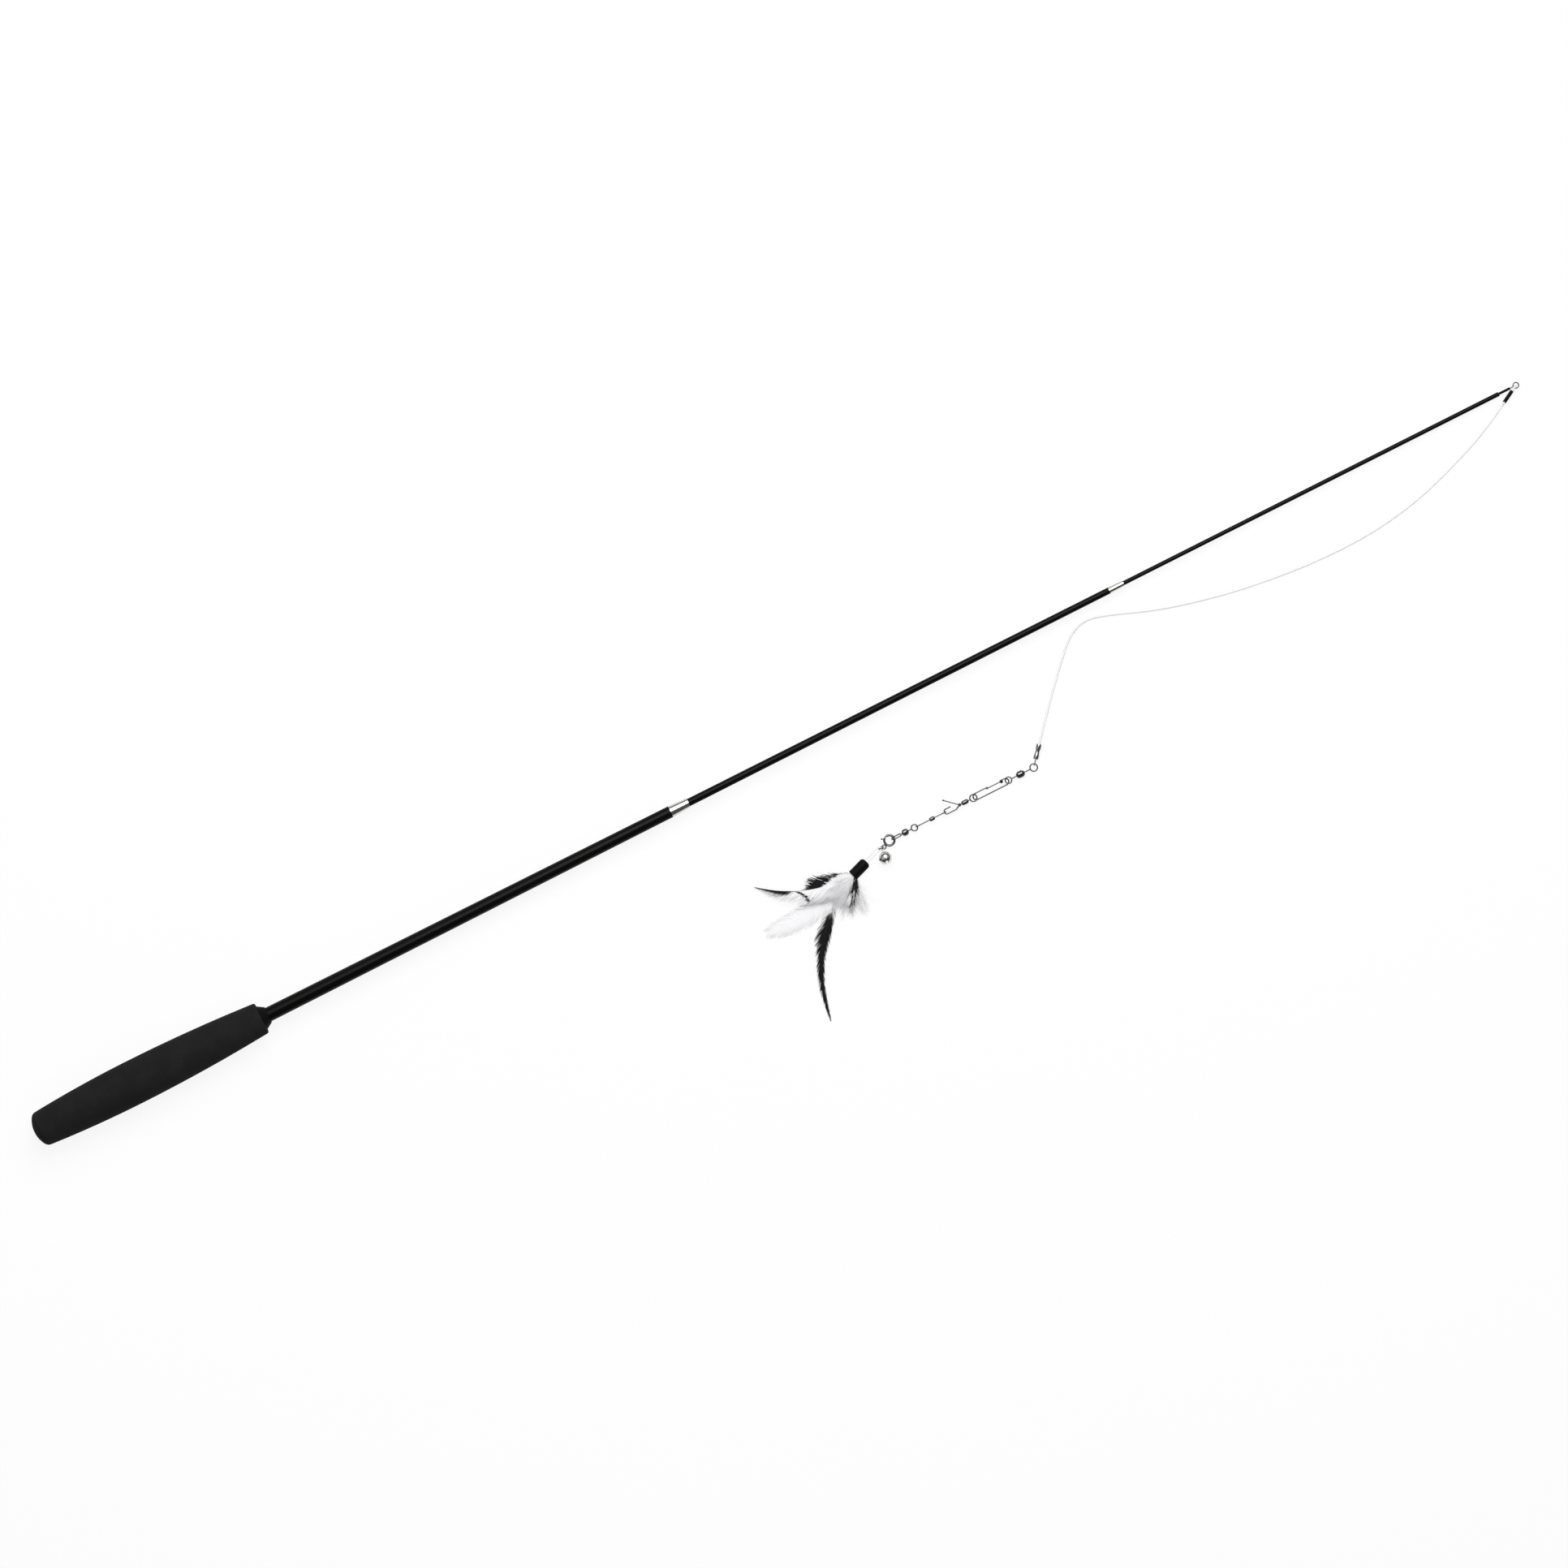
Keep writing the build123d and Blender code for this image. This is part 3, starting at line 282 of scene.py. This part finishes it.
def makeWeave():
    material, wire = newMaterial("cordWeave")
    place = wire.node("ShaderNodeTexCoord").out("UV")
    parts = wire.node("ShaderNodeSeparateXYZ", None, {0: place})
    along = parts.out("X") * (weaveLook["plaits"] * 2 * math.pi)
    around = parts.out("Y") * (weaveLook["strands"] * 2 * math.pi)
    left = wire.maths("SINE", along + around)
    right = wire.maths("SINE", along - around)
    raised = wire.maths("MAXIMUM", left, right) * 0.5 + 0.5
    # painted shade: the grooves between the braid's strands are coloured darker than its raised ridges
    dark = grey(weaveLook["level"] * weaveLook["shade"], weaveLook["tint"])
    pale = grey(weaveLook["level"], weaveLook["tint"])
    closeMaterial(wire, {
        "Base Color": raised.over(*weaveLook["shadeRange"]).blend(dark, pale),
        "Roughness": weaveLook["rough"],
        "Normal": raised.bump(weaveLook["bump"], weaveLook["depth"]),
        "Sheen Weight": weaveLook["sheen"]})
    return material


def addObject(name, data):
    made = bpy.data.objects.new(name, data)
    scene.collection.objects.link(made)
    return made


def addSpline(curve, points):
    spline = curve.splines.new("NURBS")
    spline.points.add(len(points) - 1)
    for spot, point in zip(spline.points, points):
        spot.co = (*point, 1.0)
    spline.order_u = 3
    spline.use_endpoint_u = True


cord = {
    "diameter": 1.4,
    "length": 369.0,
    "steps": 10,
    "rings": 3,
    "route": [
        (957.44, -5.82, -12.79), (942.0, -14.6, -13.12), (917.0, -24.5, -13.12), (884.0, -35.0, -13.12),
        (846.0, -40.0, -13.12), (803.0, -38.5, -13.12), (760.0, -32.5, -13.12), (722.0, -23.0, -13.12),
        (697.0, -13.0, -13.12), (682.0, -8.7, -13.12), (670.5, -12.5, -13.12), (661.0, -21.5, -13.12),
        (648.5, -34.8, -12.84), (634.6, -50.2, -11.74), (621.69, -65.61, -11.74),
    ],
}


def makeCord(name, points, node, weave):
    curve = bpy.data.curves.new(name, "CURVE")
    curve.dimensions = "3D"
    curve.resolution_u = cord["steps"]
    curve.bevel_depth = cord["diameter"] / 2 * mm
    curve.bevel_resolution = cord["rings"]
    curve.use_fill_caps = True
    addSpline(curve, points)
    curve.materials.append(weave)
    made = addObject(name, curve)
    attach(made, "tip")
    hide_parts(node)
    return made


loop = {
    "centre": (967.931, 0.0, -11.5356), "heading": 209.0, "offset": 1.25, "bend": 1.65, "lead": 2.0,
    "corner": 0.55, "tail": 13.0, "end": 12.0,
}


def headingRun(heading):  # a step ahead and a step to the left, on the table
    turn = math.radians(heading)
    run = Vector((math.cos(turn), math.sin(turn), 0))
    return run, Vector((-run.y, run.x, 0))


def loopRoute():  # the upper leg, round the eye's wire, and the lower leg back
    run = headingRun(loop["heading"])[0]
    up = Vector((0, 0, loop["offset"]))
    bight = loop["bend"] - loop["offset"]
    upper = [
        (loop["tail"], 1), (loop["bend"] + loop["lead"], 1), (loop["bend"], 1),
        (bight, 1), (bight, loop["corner"]),
    ]
    lower = [(reach, -height) for reach, height in reversed(upper[1:])]
    sides = upper + [(bight, 0)] + lower + [(loop["end"], -1)]
    return [(Vector(loop["centre"]) + run * reach + up * height) * mm for reach, height in sides]


weave = makeWeave()
cordRoute = [Vector(point) * mm for point in cord["route"]]
cordRun = makeCord("cordRun", cordRoute, "cord", weave)
cordLoop = makeCord("cordLoop", loopRoute(), "cord_loop", weave)
print("cord laid")


barb = {  # what all barbs share; each feather's own sizes are inputs of the tree
    "corners": 3, "segments": 5, "flat": 0.45, "least": 0.04, "sweepEase": 0.4,
    "lengths": (0.72, 1.08), "raise": (-0.5, 1.0), "quillCorners": 7, "quillTaper": 0.7,
    "toneDraw": 11, "angleDraw": 20, "raiseDraw": 30, "lengthDraw": 40,
}
treeInputs = {
    "NodeSocketGeometry": ["Geometry"],
    "NodeSocketInt": ["Barbs", "Seed"],
    "NodeSocketFloat": [
        "Bare", "Left Length", "Right Length", "Belly", "Fullness", "Left Cut", "Right Cut", "Cut Spread",
        "Cut Share", "Sweep", "Scatter", "Curl", "Tip Width", "Droop", "Lift", "Thickness", "Quill Radius",
        "Floor",
    ],
    "NodeSocketMaterial": ["Barb Look", "Quill Look"],
}


def featherTree():  # barbs on both sides of a quill, on every spline of a curve
    tree = bpy.data.node_groups.new("featherBarbs", "GeometryNodeTree")
    for kind, names in treeInputs.items():
        for name in names:
            tree.interface.new_socket(name=name, in_out="INPUT", socket_type=kind)
    tree.interface.new_socket(name="Geometry", in_out="OUTPUT", socket_type="NodeSocketGeometry")
    entry = tree.nodes.new("NodeGroupInput")
    exitNode = tree.nodes.new("NodeGroupOutput")
    wire = Wire(tree)

    def given(name):
        return Wire(tree, entry.outputs[name])

    def chance(low, high, draw):
        sockets = {2: low, 3: high, 8: given("Seed") + draw}
        return wire.node("FunctionNodeRandomValue", {"data_type": "FLOAT"}, sockets, 1)

    def keep(geometry, name, value, domain="POINT"):
        settings = {"data_type": "FLOAT", "domain": domain}
        sockets = {"Geometry": geometry, "Name": name, "Value": value}
        return wire.node("GeometryNodeStoreNamedAttribute", settings, sockets)

    def kept(name):
        return wire.node("GeometryNodeInputNamedAttribute", {"data_type": "FLOAT"}, {"Name": name})

    def join(pieces):
        joined = tree.nodes.new("GeometryNodeJoinGeometry")
        for piece in pieces:
            tree.links.new(piece.socket, joined.inputs[0])
        return Wire(tree, joined.outputs[0])

    factor = wire.node("GeometryNodeSplineParameter")
    sockets = {"Curve": given("Geometry"), "Count": given("Barbs")}
    spaced = wire.node("GeometryNodeResampleCurve", {"mode": "COUNT"}, sockets)
    marked = keep(spaced, "along", factor)
    spots = wire.node("GeometryNodeCurveToPoints", {"mode": "EVALUATED"}, {"Curve": marked})
    tangent = spots.out("Tangent")
    toned = keep(spots, "tone", chance(0.0, 1.0, barb["toneDraw"]))
    along = kept("along")
    grown = wire.maths("GREATER_THAN", along, given("Bare"))
    vane = wire.maths("MAXIMUM", (along - given("Bare")) / (1.0 - given("Bare")), 0.0)
    swell = wire.maths("SINE", vane ** given("Belly") * math.pi)
    profile = wire.maths("MAXIMUM", swell, 0.0) ** given("Fullness") + barb["least"]

    def flank(side, hand):
        cut = given(hand + " Cut")
        spread = given("Cut Spread")
        left = 1.0 - vane.over(cut - spread, cut + spread) * (1.0 - given("Cut Share"))
        strand = wire.node("GeometryNodeMeshCone", {"fill_type": "TRIANGLE_FAN"}, {
            "Vertices": barb["corners"], "Side Segments": barb["segments"], "Fill Segments": 1,
            "Radius Top": given("Thickness") * given("Tip Width"), "Radius Bottom": given("Thickness"),
            "Depth": 1.0})
        spot = wire.node("ShaderNodeSeparateXYZ", None, {0: wire.node("GeometryNodeInputPosition")})
        rise = spot.out("Z")
        bend = rise * rise
        bent = wire.node("ShaderNodeCombineXYZ", None, {
            0: spot * barb["flat"] - bend * given("Droop"),
            1: spot.out("Y") + bend * given("Curl") * side,
            2: rise})
        strand = keep(strand, "out", rise)
        strand = wire.node("GeometryNodeSetPosition", None, {"Geometry": strand, "Position": bent})
        outward = wire.vector("NORMALIZE", wire.vector("CROSS_PRODUCT", (0.0, 0.0, float(side)), tangent))
        angle = given("Sweep") * (1.0 - barb["sweepEase"] * vane)
        angle = angle + given("Scatter") * chance(-1.0, 1.0, barb["angleDraw"] + side)
        ahead = tangent.scaled(wire.maths("COSINE", angle))
        aside = outward.scaled(wire.maths("SINE", angle))
        height = given("Lift") * chance(*barb["raise"], barb["raiseDraw"] + side)
        raised = wire.node("ShaderNodeCombineXYZ", None, {2: height})
        heading = wire.vector("ADD", wire.vector("ADD", ahead, aside), raised)
        turned = wire.node("FunctionNodeAxesToRotation", {"primary_axis": "Z", "secondary_axis": "X"}, {
            "Primary Axis": heading, "Secondary Axis": (0.0, 0.0, 1.0)})
        length = given(hand + " Length") * profile * left
        length = length * chance(*barb["lengths"], barb["lengthDraw"] + side)
        barbs = wire.node("GeometryNodeInstanceOnPoints", None, {
            "Points": toned, "Selection": grown, "Instance": strand, "Rotation": turned, "Scale": length})
        return keep(barbs, "side", float(side), "INSTANCE")

    slim = wire.node("GeometryNodeSetCurveRadius", None, {
        "Curve": marked, "Radius": 1.0 - barb["quillTaper"] * factor})
    ring = wire.node("GeometryNodeCurvePrimitiveCircle", {"mode": "RADIUS"}, {
        "Resolution": barb["quillCorners"], "Radius": given("Quill Radius")})
    quill = wire.node("GeometryNodeCurveToMesh", None, {
        "Curve": slim, "Profile Curve": ring, "Fill Caps": True,
        "Scale": wire.node("GeometryNodeInputRadius")})
    quill = wire.node("GeometryNodeSetMaterial", None, {"Geometry": quill, "Material": given("Quill Look")})

    whole = join([quill, flank(-1, "Right"), flank(1, "Left")])
    whole = wire.node("GeometryNodeRealizeInstances", None, {"Geometry": whole})
    spot = wire.node("ShaderNodeSeparateXYZ", None, {0: wire.node("GeometryNodeInputPosition")})
    level = wire.maths("MAXIMUM", spot.out("Z"), given("Floor"))
    resting = wire.node("ShaderNodeCombineXYZ", None, {0: spot, 1: spot.out("Y"), 2: level})
    whole = wire.node("GeometryNodeSetPosition", None, {"Geometry": whole, "Position": resting})
    isBarb = wire.maths("GREATER_THAN", wire.maths("ABSOLUTE", kept("side")), 0.5)
    whole = wire.node("GeometryNodeSetMaterial", None, {
        "Geometry": whole, "Selection": isBarb, "Material": given("Barb Look")})
    tree.links.new(whole.socket, exitNode.inputs[0])
    return tree


barbTree = featherTree()
lure = {
    "mouth": (493.09, -81.30, -10.54), "heading": 199.0, "inside": 3.2, "clearance": 0.1, "steps": 16,
    "places": (0.0, 0.17, 0.34, 0.5, 0.67, 0.84, 1.0),
}


def growFeather(name, routes, sizes, barbLook, quillLook):
    curve = bpy.data.curves.new(name, "CURVE")
    curve.dimensions = "3D"
    curve.resolution_u = lure["steps"]
    for route in routes:
        addSpline(curve, route)
    source = addObject(name + "Route", curve)
    modifier = source.modifiers.new("barbs", "NODES")
    modifier.node_group = barbTree
    lowest = tableZ + lure["clearance"] * mm
    values = {"Floor": lowest, "Barb Look": barbLook, "Quill Look": quillLook, **sizes}
    for item in barbTree.interface.items_tree:
        if item.in_out == "INPUT" and item.name in values:
            modifier[item.identifier] = values[item.name]
    bpy.context.view_layer.update()
    depsgraph = bpy.context.evaluated_depsgraph_get()
    grown = source.evaluated_get(depsgraph)
    mesh = bpy.data.meshes.new_from_object(grown, preserve_all_data_layers=True, depsgraph=depsgraph)
    mesh.name = name
    for index in reversed(range(len(mesh.materials))):
        if mesh.materials[index] is None:  # the barbs' cones leave an unused slot
            mesh.materials.pop(index=index)
    bpy.data.objects.remove(source)
    made = addObject(name, mesh)
    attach(made, "lure")
    print(name, len(mesh.polygons), "faces")
    return made


def featherRoute(heading, reach, bow, shift, lift, arch, tipHeight):
    run, side = headingRun(heading)
    rim = headingRun(lure["heading"])[1]
    start = Vector(lure["mouth"]) + rim * shift + Vector((0, 0, lift))
    fall = tableZ / mm + tipHeight - start.z
    route = []
    for share in (-lure["inside"] / reach, *lure["places"]):
        swell = 4 * share * (1 - share)
        point = start + run * (reach * share) + side * (bow * swell)
        point.z += fall * max(share, 0.0) + arch * max(swell, 0.0)
        route.append(point * mm)
    return route


vaneLook = {
    "shade": 0.95, "shadeTint": (0.985, 0.985, 1.0), "whiteTint": (0.995, 0.995, 1.0),
    "blackTint": (1.0, 1.0, 1.06), "rough": 0.65, "gloss": 0.3,
}


def vaneMaterial(name, white, black=0.0, mask=None):
    material, wire = newMaterial(name)

    def attribute(about):
        return wire.node("ShaderNodeAttribute", {"attribute_name": about}).out("Fac")

    tone = attribute("tone")
    shade = grey(white * vaneLook["shade"], vaneLook["shadeTint"])
    colour = tone.blend(shade, grey(white, vaneLook["whiteTint"]))
    if mask:
        dark = mask(wire, attribute("along"), attribute("out"), attribute("side"), tone)
        colour = dark.blend(colour, grey(black, vaneLook["blackTint"]))
    closeMaterial(wire, {
        "Base Color": colour, "Roughness": vaneLook["rough"], "Specular IOR Level": vaneLook["gloss"]})
    return material


softEdge = 0.04


def within(value, low, high, soft=softEdge):
    return value.over(low - soft, low + soft) * (1.0 - value.over(high - soft, high + soft))


def onLeft(side):
    return side.over(-0.5, 0.5)


# Marks of a feather: places along the quill and out along a barb, each from 0 to 1.
leftMarks = {
    "lean": 0.12, "ragged": 0.05,
    "patch": (0.07, 0.6), "inner": 0.38, "innerSlope": 3.4, "innerSoft": (-0.08, 0.08),
    "rim": 1.12, "rimStart": 0.3, "rimSlope": 1.9, "rimRagged": 0.2, "rimSoft": (-0.1, 0.06),
    "spots": (0.03, 0.13), "spotsOut": (0.45, 0.6), "spotsTone": (0.45, 0.55),
    "streak": (0.578, 0.618), "streakLean": 0.27, "streakSoft": 0.012, "streakEnd": (0.75, 0.9),
    "tip": (0.62, 0.66), "tipOut": (0.3, 0.75), "haze": (0.64, 0.72), "hazeLevel": 0.28,
}


def leftMask(wire, along, out, side, tone):
    marks = leftMarks
    jitter = tone - 0.5
    ragged = along + out * marks["lean"] + jitter * marks["ragged"]
    upper = 1.0 - onLeft(side)
    inner = wire.maths("MAXIMUM", (marks["inner"] - ragged) * marks["innerSlope"], 0.0)
    drawnIn = wire.maths("MAXIMUM", ragged - marks["rimStart"], 0.0) * marks["rimSlope"]
    rim = marks["rim"] - drawnIn + jitter * marks["rimRagged"]
    patch = within(ragged, *marks["patch"]) * (out - inner).over(*marks["innerSoft"])
    patch = patch * (rim - out).over(*marks["rimSoft"])
    spots = within(ragged, *marks["spots"]) * out.over(*marks["spotsOut"]) * tone.over(*marks["spotsTone"])
    streak = within(along + out * marks["streakLean"], *marks["streak"], marks["streakSoft"])
    streak = streak * (1.0 - out.over(*marks["streakEnd"])) * (1.0 - upper)
    tip = (along + jitter * marks["ragged"]).over(*marks["tip"]) * (1.0 - out.over(*marks["tipOut"]))
    haze = along.over(*marks["haze"]) * marks["hazeLevel"]
    dark = (patch + spots) * upper + streak + wire.maths("MAXIMUM", tip, haze)
    return wire.maths("MINIMUM", dark, 1.0)


tailMarks = {
    "ragged": 0.1, "down": (0.25, 0.29),
    "wisps": (0.34, 0.44), "wispsOut": (0.35, 0.6), "wispsTone": (0.2, 0.5),
}


def tailMask(wire, along, out, side, tone):
    marks = tailMarks
    ragged = along + (tone - 0.5) * marks["ragged"]
    wisps = (1.0 - ragged.over(*marks["wisps"])) * (1.0 - onLeft(side))
    wisps = wisps * out.over(*marks["wispsOut"]) * tone.over(*marks["wispsTone"])
    pale = 1.0 - ragged.over(*marks["down"])
    return 1.0 - wire.maths("MINIMUM", wisps + pale, 1.0)


sideMarks = {
    "ragged": 0.14, "root": (0.42, 0.5), "middle": (0.56, 0.74),
    "tip": (0.8, 0.96), "tipOut": (0.7, 0.9),
}


def sideMask(wire, along, out, side, tone):
    marks = sideMarks
    ragged = along + (tone - 0.5) * marks["ragged"]
    root = 1.0 - ragged.over(*marks["root"])
    middle = within(ragged, *marks["middle"]) * onLeft(side)
    tip = within(ragged, *marks["tip"]) * (1.0 - out.over(*marks["tipOut"]))
    return wire.maths("MINIMUM", root + middle + tip, 1.0)


def quillMask(turn):  # white before the turn, dark after it
    return lambda wire, along, out, side, tone: along.over(turn - softEdge, turn + softEdge)


uncut = {"Left Cut": 2.0, "Right Cut": 2.0, "Cut Spread": 0.1, "Cut Share": 1.0}
feathers = {
    "featherLeft": {
        "node": "feather_left", "slot": "feather_mixed",
        "route": {"heading": 160.0, "reach": 58.0, "bow": 5.6, "shift": 0.0, "lift": 1.9, "arch": 2.4,
                  "tipHeight": 0.9},
        "mask": leftMask, "white": 0.93, "black": 0.006, "quillDark": 0.6,
        "sizes": {"Barbs": 340, "Bare": 0.03, "Left Length": 0.0115, "Right Length": 0.0118, "Belly": 0.6,
                  "Fullness": 0.8, "Left Cut": 2.0, "Right Cut": 0.42, "Cut Spread": 0.14,
                  "Cut Share": 0.16, "Sweep": 0.95, "Scatter": 0.09, "Curl": 0.16, "Tip Width": 0.18,
                  "Droop": 0.05, "Lift": 0.12, "Thickness": 0.046, "Quill Radius": 0.0004, "Seed": 3},
    },
    "featherPale": {
        "node": "feather_pale", "slot": "feather_white",
        "route": {"heading": 187.4, "reach": 59.0, "bow": 3.8, "shift": 0.0, "lift": -0.5, "arch": 0.0,
                  "tipHeight": 0.9},
        "mask": None, "white": 0.95, "black": 0.9, "quillDark": 2.0,
        "sizes": {"Barbs": 340, "Bare": 0.14, "Left Length": 0.0125, "Right Length": 0.0125, "Belly": 0.95,
                  "Fullness": 0.42, "Sweep": 0.82, "Scatter": 0.03, "Curl": 0.14, "Tip Width": 0.2,
                  "Droop": 0.03, "Lift": 0.04, "Thickness": 0.034, "Quill Radius": 0.0003, "Seed": 5,
                  **uncut},
    },
    "featherTail": {
        "node": "feather_tail", "slot": "feather_black",
        "route": {"heading": 234.7, "reach": 86.0, "bow": -11.6, "shift": 0.0, "lift": -1.6, "arch": 0.0,
                  "tipHeight": 0.9},
        "mask": tailMask, "white": 0.92, "black": 0.006, "quillDark": 0.27,
        "sizes": {"Barbs": 400, "Bare": 0.25, "Left Length": 0.0098, "Right Length": 0.0108, "Belly": 0.62,
                  "Fullness": 0.5, "Left Cut": 0.3, "Right Cut": 0.28, "Cut Spread": 0.14,
                  "Cut Share": 0.6, "Sweep": 0.58, "Scatter": 0.08, "Curl": 0.1, "Tip Width": 0.18,
                  "Droop": 0.03, "Lift": 0.1, "Thickness": 0.042, "Quill Radius": 0.0004, "Seed": 7},
    },
    "featherSide": {
        "node": "feather_side", "slot": "feather_mixed",
        "route": {"heading": 229.0, "reach": 17.5, "bow": 0.8, "shift": 2.3, "lift": 1.4, "arch": 1.8,
                  "tipHeight": 6.4},
        "mask": sideMask, "white": 0.93, "black": 0.006, "quillDark": -1.0,
        "sizes": {"Barbs": 150, "Bare": 0.04, "Left Length": 0.0062, "Right Length": 0.0062, "Belly": 0.8,
                  "Fullness": 0.6, "Sweep": 0.62, "Scatter": 0.25, "Curl": 0.2, "Tip Width": 0.18,
                  "Droop": 0.05, "Lift": 0.2, "Thickness": 0.055, "Quill Radius": 0.0003, "Seed": 9,
                  **uncut},
    },
}
for name, about in feathers.items():
    barbLook = vaneMaterial(name + "Barbs", about["white"], about["black"], about["mask"])
    quillLook = vaneMaterial(name + "Quill", about["white"], about["black"], quillMask(about["quillDark"]))
    feather = growFeather(name, [featherRoute(**about["route"])], about["sizes"], barbLook, quillLook)
    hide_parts(about["node"])


down = {
    "white": 0.95,
    "skirt": {"plumes": 24, "headings": (168.0, 264.0), "reach": (35.0, 24.0), "rise": (0.4, 2.2),
              "lift": (-1.6, 1.2), "seed": 41},
    "crest": {"plumes": 9, "headings": (188.0, 228.0), "reach": (27.0, 18.0), "rise": (4.6, 6.2),
              "lift": (0.6, 2.0), "seed": 17},
    "wobble": 5.0, "shorten": (0.7, 1.05), "bow": 2.0, "swell": 2.0, "crown": 1.25,
    "places": (-0.06, 0.15, 0.4, 0.7, 1.0),
    "sizes": {"Barbs": 60, "Bare": 0.06, "Left Length": 0.0085, "Right Length": 0.0085, "Belly": 0.75,
              "Fullness": 0.7, "Sweep": 0.75, "Scatter": 0.5, "Curl": 0.3, "Tip Width": 0.25,
              "Droop": 0.1, "Lift": 0.35, "Thickness": 0.014, "Quill Radius": 0.00016, "Seed": 13, **uncut},
}


def between(ends, share):
    return ends[0] * (1 - share) + ends[1] * share


def downRoutes(tuft):
    draw = random.Random(tuft["seed"])
    floorLevel = tableZ / mm
    routes = []
    for count in range(tuft["plumes"]):
        share = (count + 0.5) / tuft["plumes"]
        heading = between(tuft["headings"], share) + draw.uniform(-down["wobble"], down["wobble"])
        reach = between(tuft["reach"], share) * draw.uniform(*down["shorten"])
        rise = draw.uniform(*tuft["rise"])
        bow = draw.uniform(-down["bow"], down["bow"])
        run, side = headingRun(heading)
        start = Vector(lure["mouth"]) + Vector((0, 0, draw.uniform(*tuft["lift"])))
        route = []
        for part in down["places"]:
            point = start + run * (reach * part) + side * (4 * bow * part * (1 - part))
            arch = rise * down["swell"] * part * (down["crown"] - part)
            point.z = floorLevel + (start.z - floorLevel) * (1 - part) + arch
            route.append(point * mm)
        routes.append(route)
    return routes


downLook = vaneMaterial("downBarbs", down["white"])
plumes = downRoutes(down["skirt"]) + downRoutes(down["crest"])
fluff = growFeather("fluffDown", plumes, down["sizes"], downLook, downLook)
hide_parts("fluff")
print("lure feathered")


floor = {"size": 30.0, "level": 0.95, "wash": 0.88}


def makeFloor():
    mesh = bpy.data.meshes.new("table")
    half = floor["size"] / 2
    corners = [(-half, -half, tableZ), (half, -half, tableZ), (half, half, tableZ), (-half, half, tableZ)]
    mesh.from_pydata(corners, [], [(0, 1, 2, 3)])
    material, wire = newMaterial("tableWhite")
    rays = wire.node("ShaderNodeLightPath")
    mirrored = wire.maths("MAXIMUM", rays.out("Is Glossy Ray"), rays.out("Is Transmission Ray"))
    plain = wire.node("ShaderNodeBsdfDiffuse", None, {"Color": grey(floor["level"])})
    bright = wire.node("ShaderNodeEmission", None, {"Color": grey(1.0), "Strength": 1.0})
    mixed = wire.node("ShaderNodeMixShader", None, {0: mirrored * floor["wash"], 1: plain, 2: bright})
    # the wash is the white world seen through the table, so a lure swung below it still shows
    beneath = wire.node("ShaderNodeNewGeometry").out("Backfacing")
    clear = wire.maths("MAXIMUM", rays.out("Is Camera Ray") * floor["wash"], beneath)
    through = wire.node("ShaderNodeBsdfTransparent", None, {"Color": grey(1.0)})
    mixed = wire.node("ShaderNodeMixShader", None, {0: clear, 1: mixed, 2: through})
    wire.node("ShaderNodeOutputMaterial", None, {"Surface": mixed})
    mesh.materials.append(material)
    addObject("table", mesh)


studio = {
    "zenith": 0.5, "horizon": 0.2, "skyRise": (0.05, 0.75), "bright": 0.6, "shade": 0.1, "edge": 0.03,
    "front": (-0.3, 0.05),
    "lampPower": 26.0, "lampSize": 1.2, "lampPlace": (0.86, 0.76, 1.5), "aim": (0.48, -0.02),
}


def makeStudio():
    world = bpy.data.worlds.new("studio")
    scene.world = world
    world.use_nodes = True
    world.node_tree.nodes.clear()
    wire = Wire(world.node_tree)
    place = wire.node("ShaderNodeTexCoord").out("Generated")
    parts = wire.node("ShaderNodeSeparateXYZ", None, {0: place})
    rise = parts.out("Z").over(*studio["skyRise"])
    even = rise.blend(grey(studio["horizon"]), grey(studio["zenith"]))
    dome = parts.out("Y").over(*studio["front"]).blend(grey(studio["shade"]), grey(studio["bright"]))
    mirrored = rise.blend(grey(studio["edge"]), dome)  # metal shows a room with a dark front
    rays = wire.node("ShaderNodeLightPath")
    colour = rays.out("Is Glossy Ray").blend(even, mirrored)
    colour = rays.out("Is Camera Ray").blend(colour, grey(1.0))
    sky = wire.node("ShaderNodeBackground", None, {"Color": colour, "Strength": 1.0})
    wire.node("ShaderNodeOutputWorld", None, {"Surface": sky})
    lamp = bpy.data.lights.new("softbox", "AREA")
    lamp.energy = studio["lampPower"]
    lamp.size = studio["lampSize"]
    softbox = addObject("softbox", lamp)
    softbox.location = studio["lampPlace"]
    aim = Vector((*studio["aim"], tableZ)) - softbox.location
    softbox.rotation_euler = aim.to_track_quat("-Z", "Y").to_euler()


view = {"centre": (481.3, -15.4), "width": 914.0, "turn": -26.77, "lens": 200.0, "sensor": 36.0}


def makeCamera():
    data = bpy.data.cameras.new("camera")
    data.lens = view["lens"]
    data.sensor_width = view["sensor"]
    camera = addObject("camera", data)
    away = view["width"] * mm * view["lens"] / view["sensor"]
    camera.location = (view["centre"][0] * mm, view["centre"][1] * mm, away)
    camera.rotation_euler = (0.0, 0.0, math.radians(view["turn"]))
    scene.camera = camera


makeFloor()
makeStudio()
makeCamera()
print("studio set")
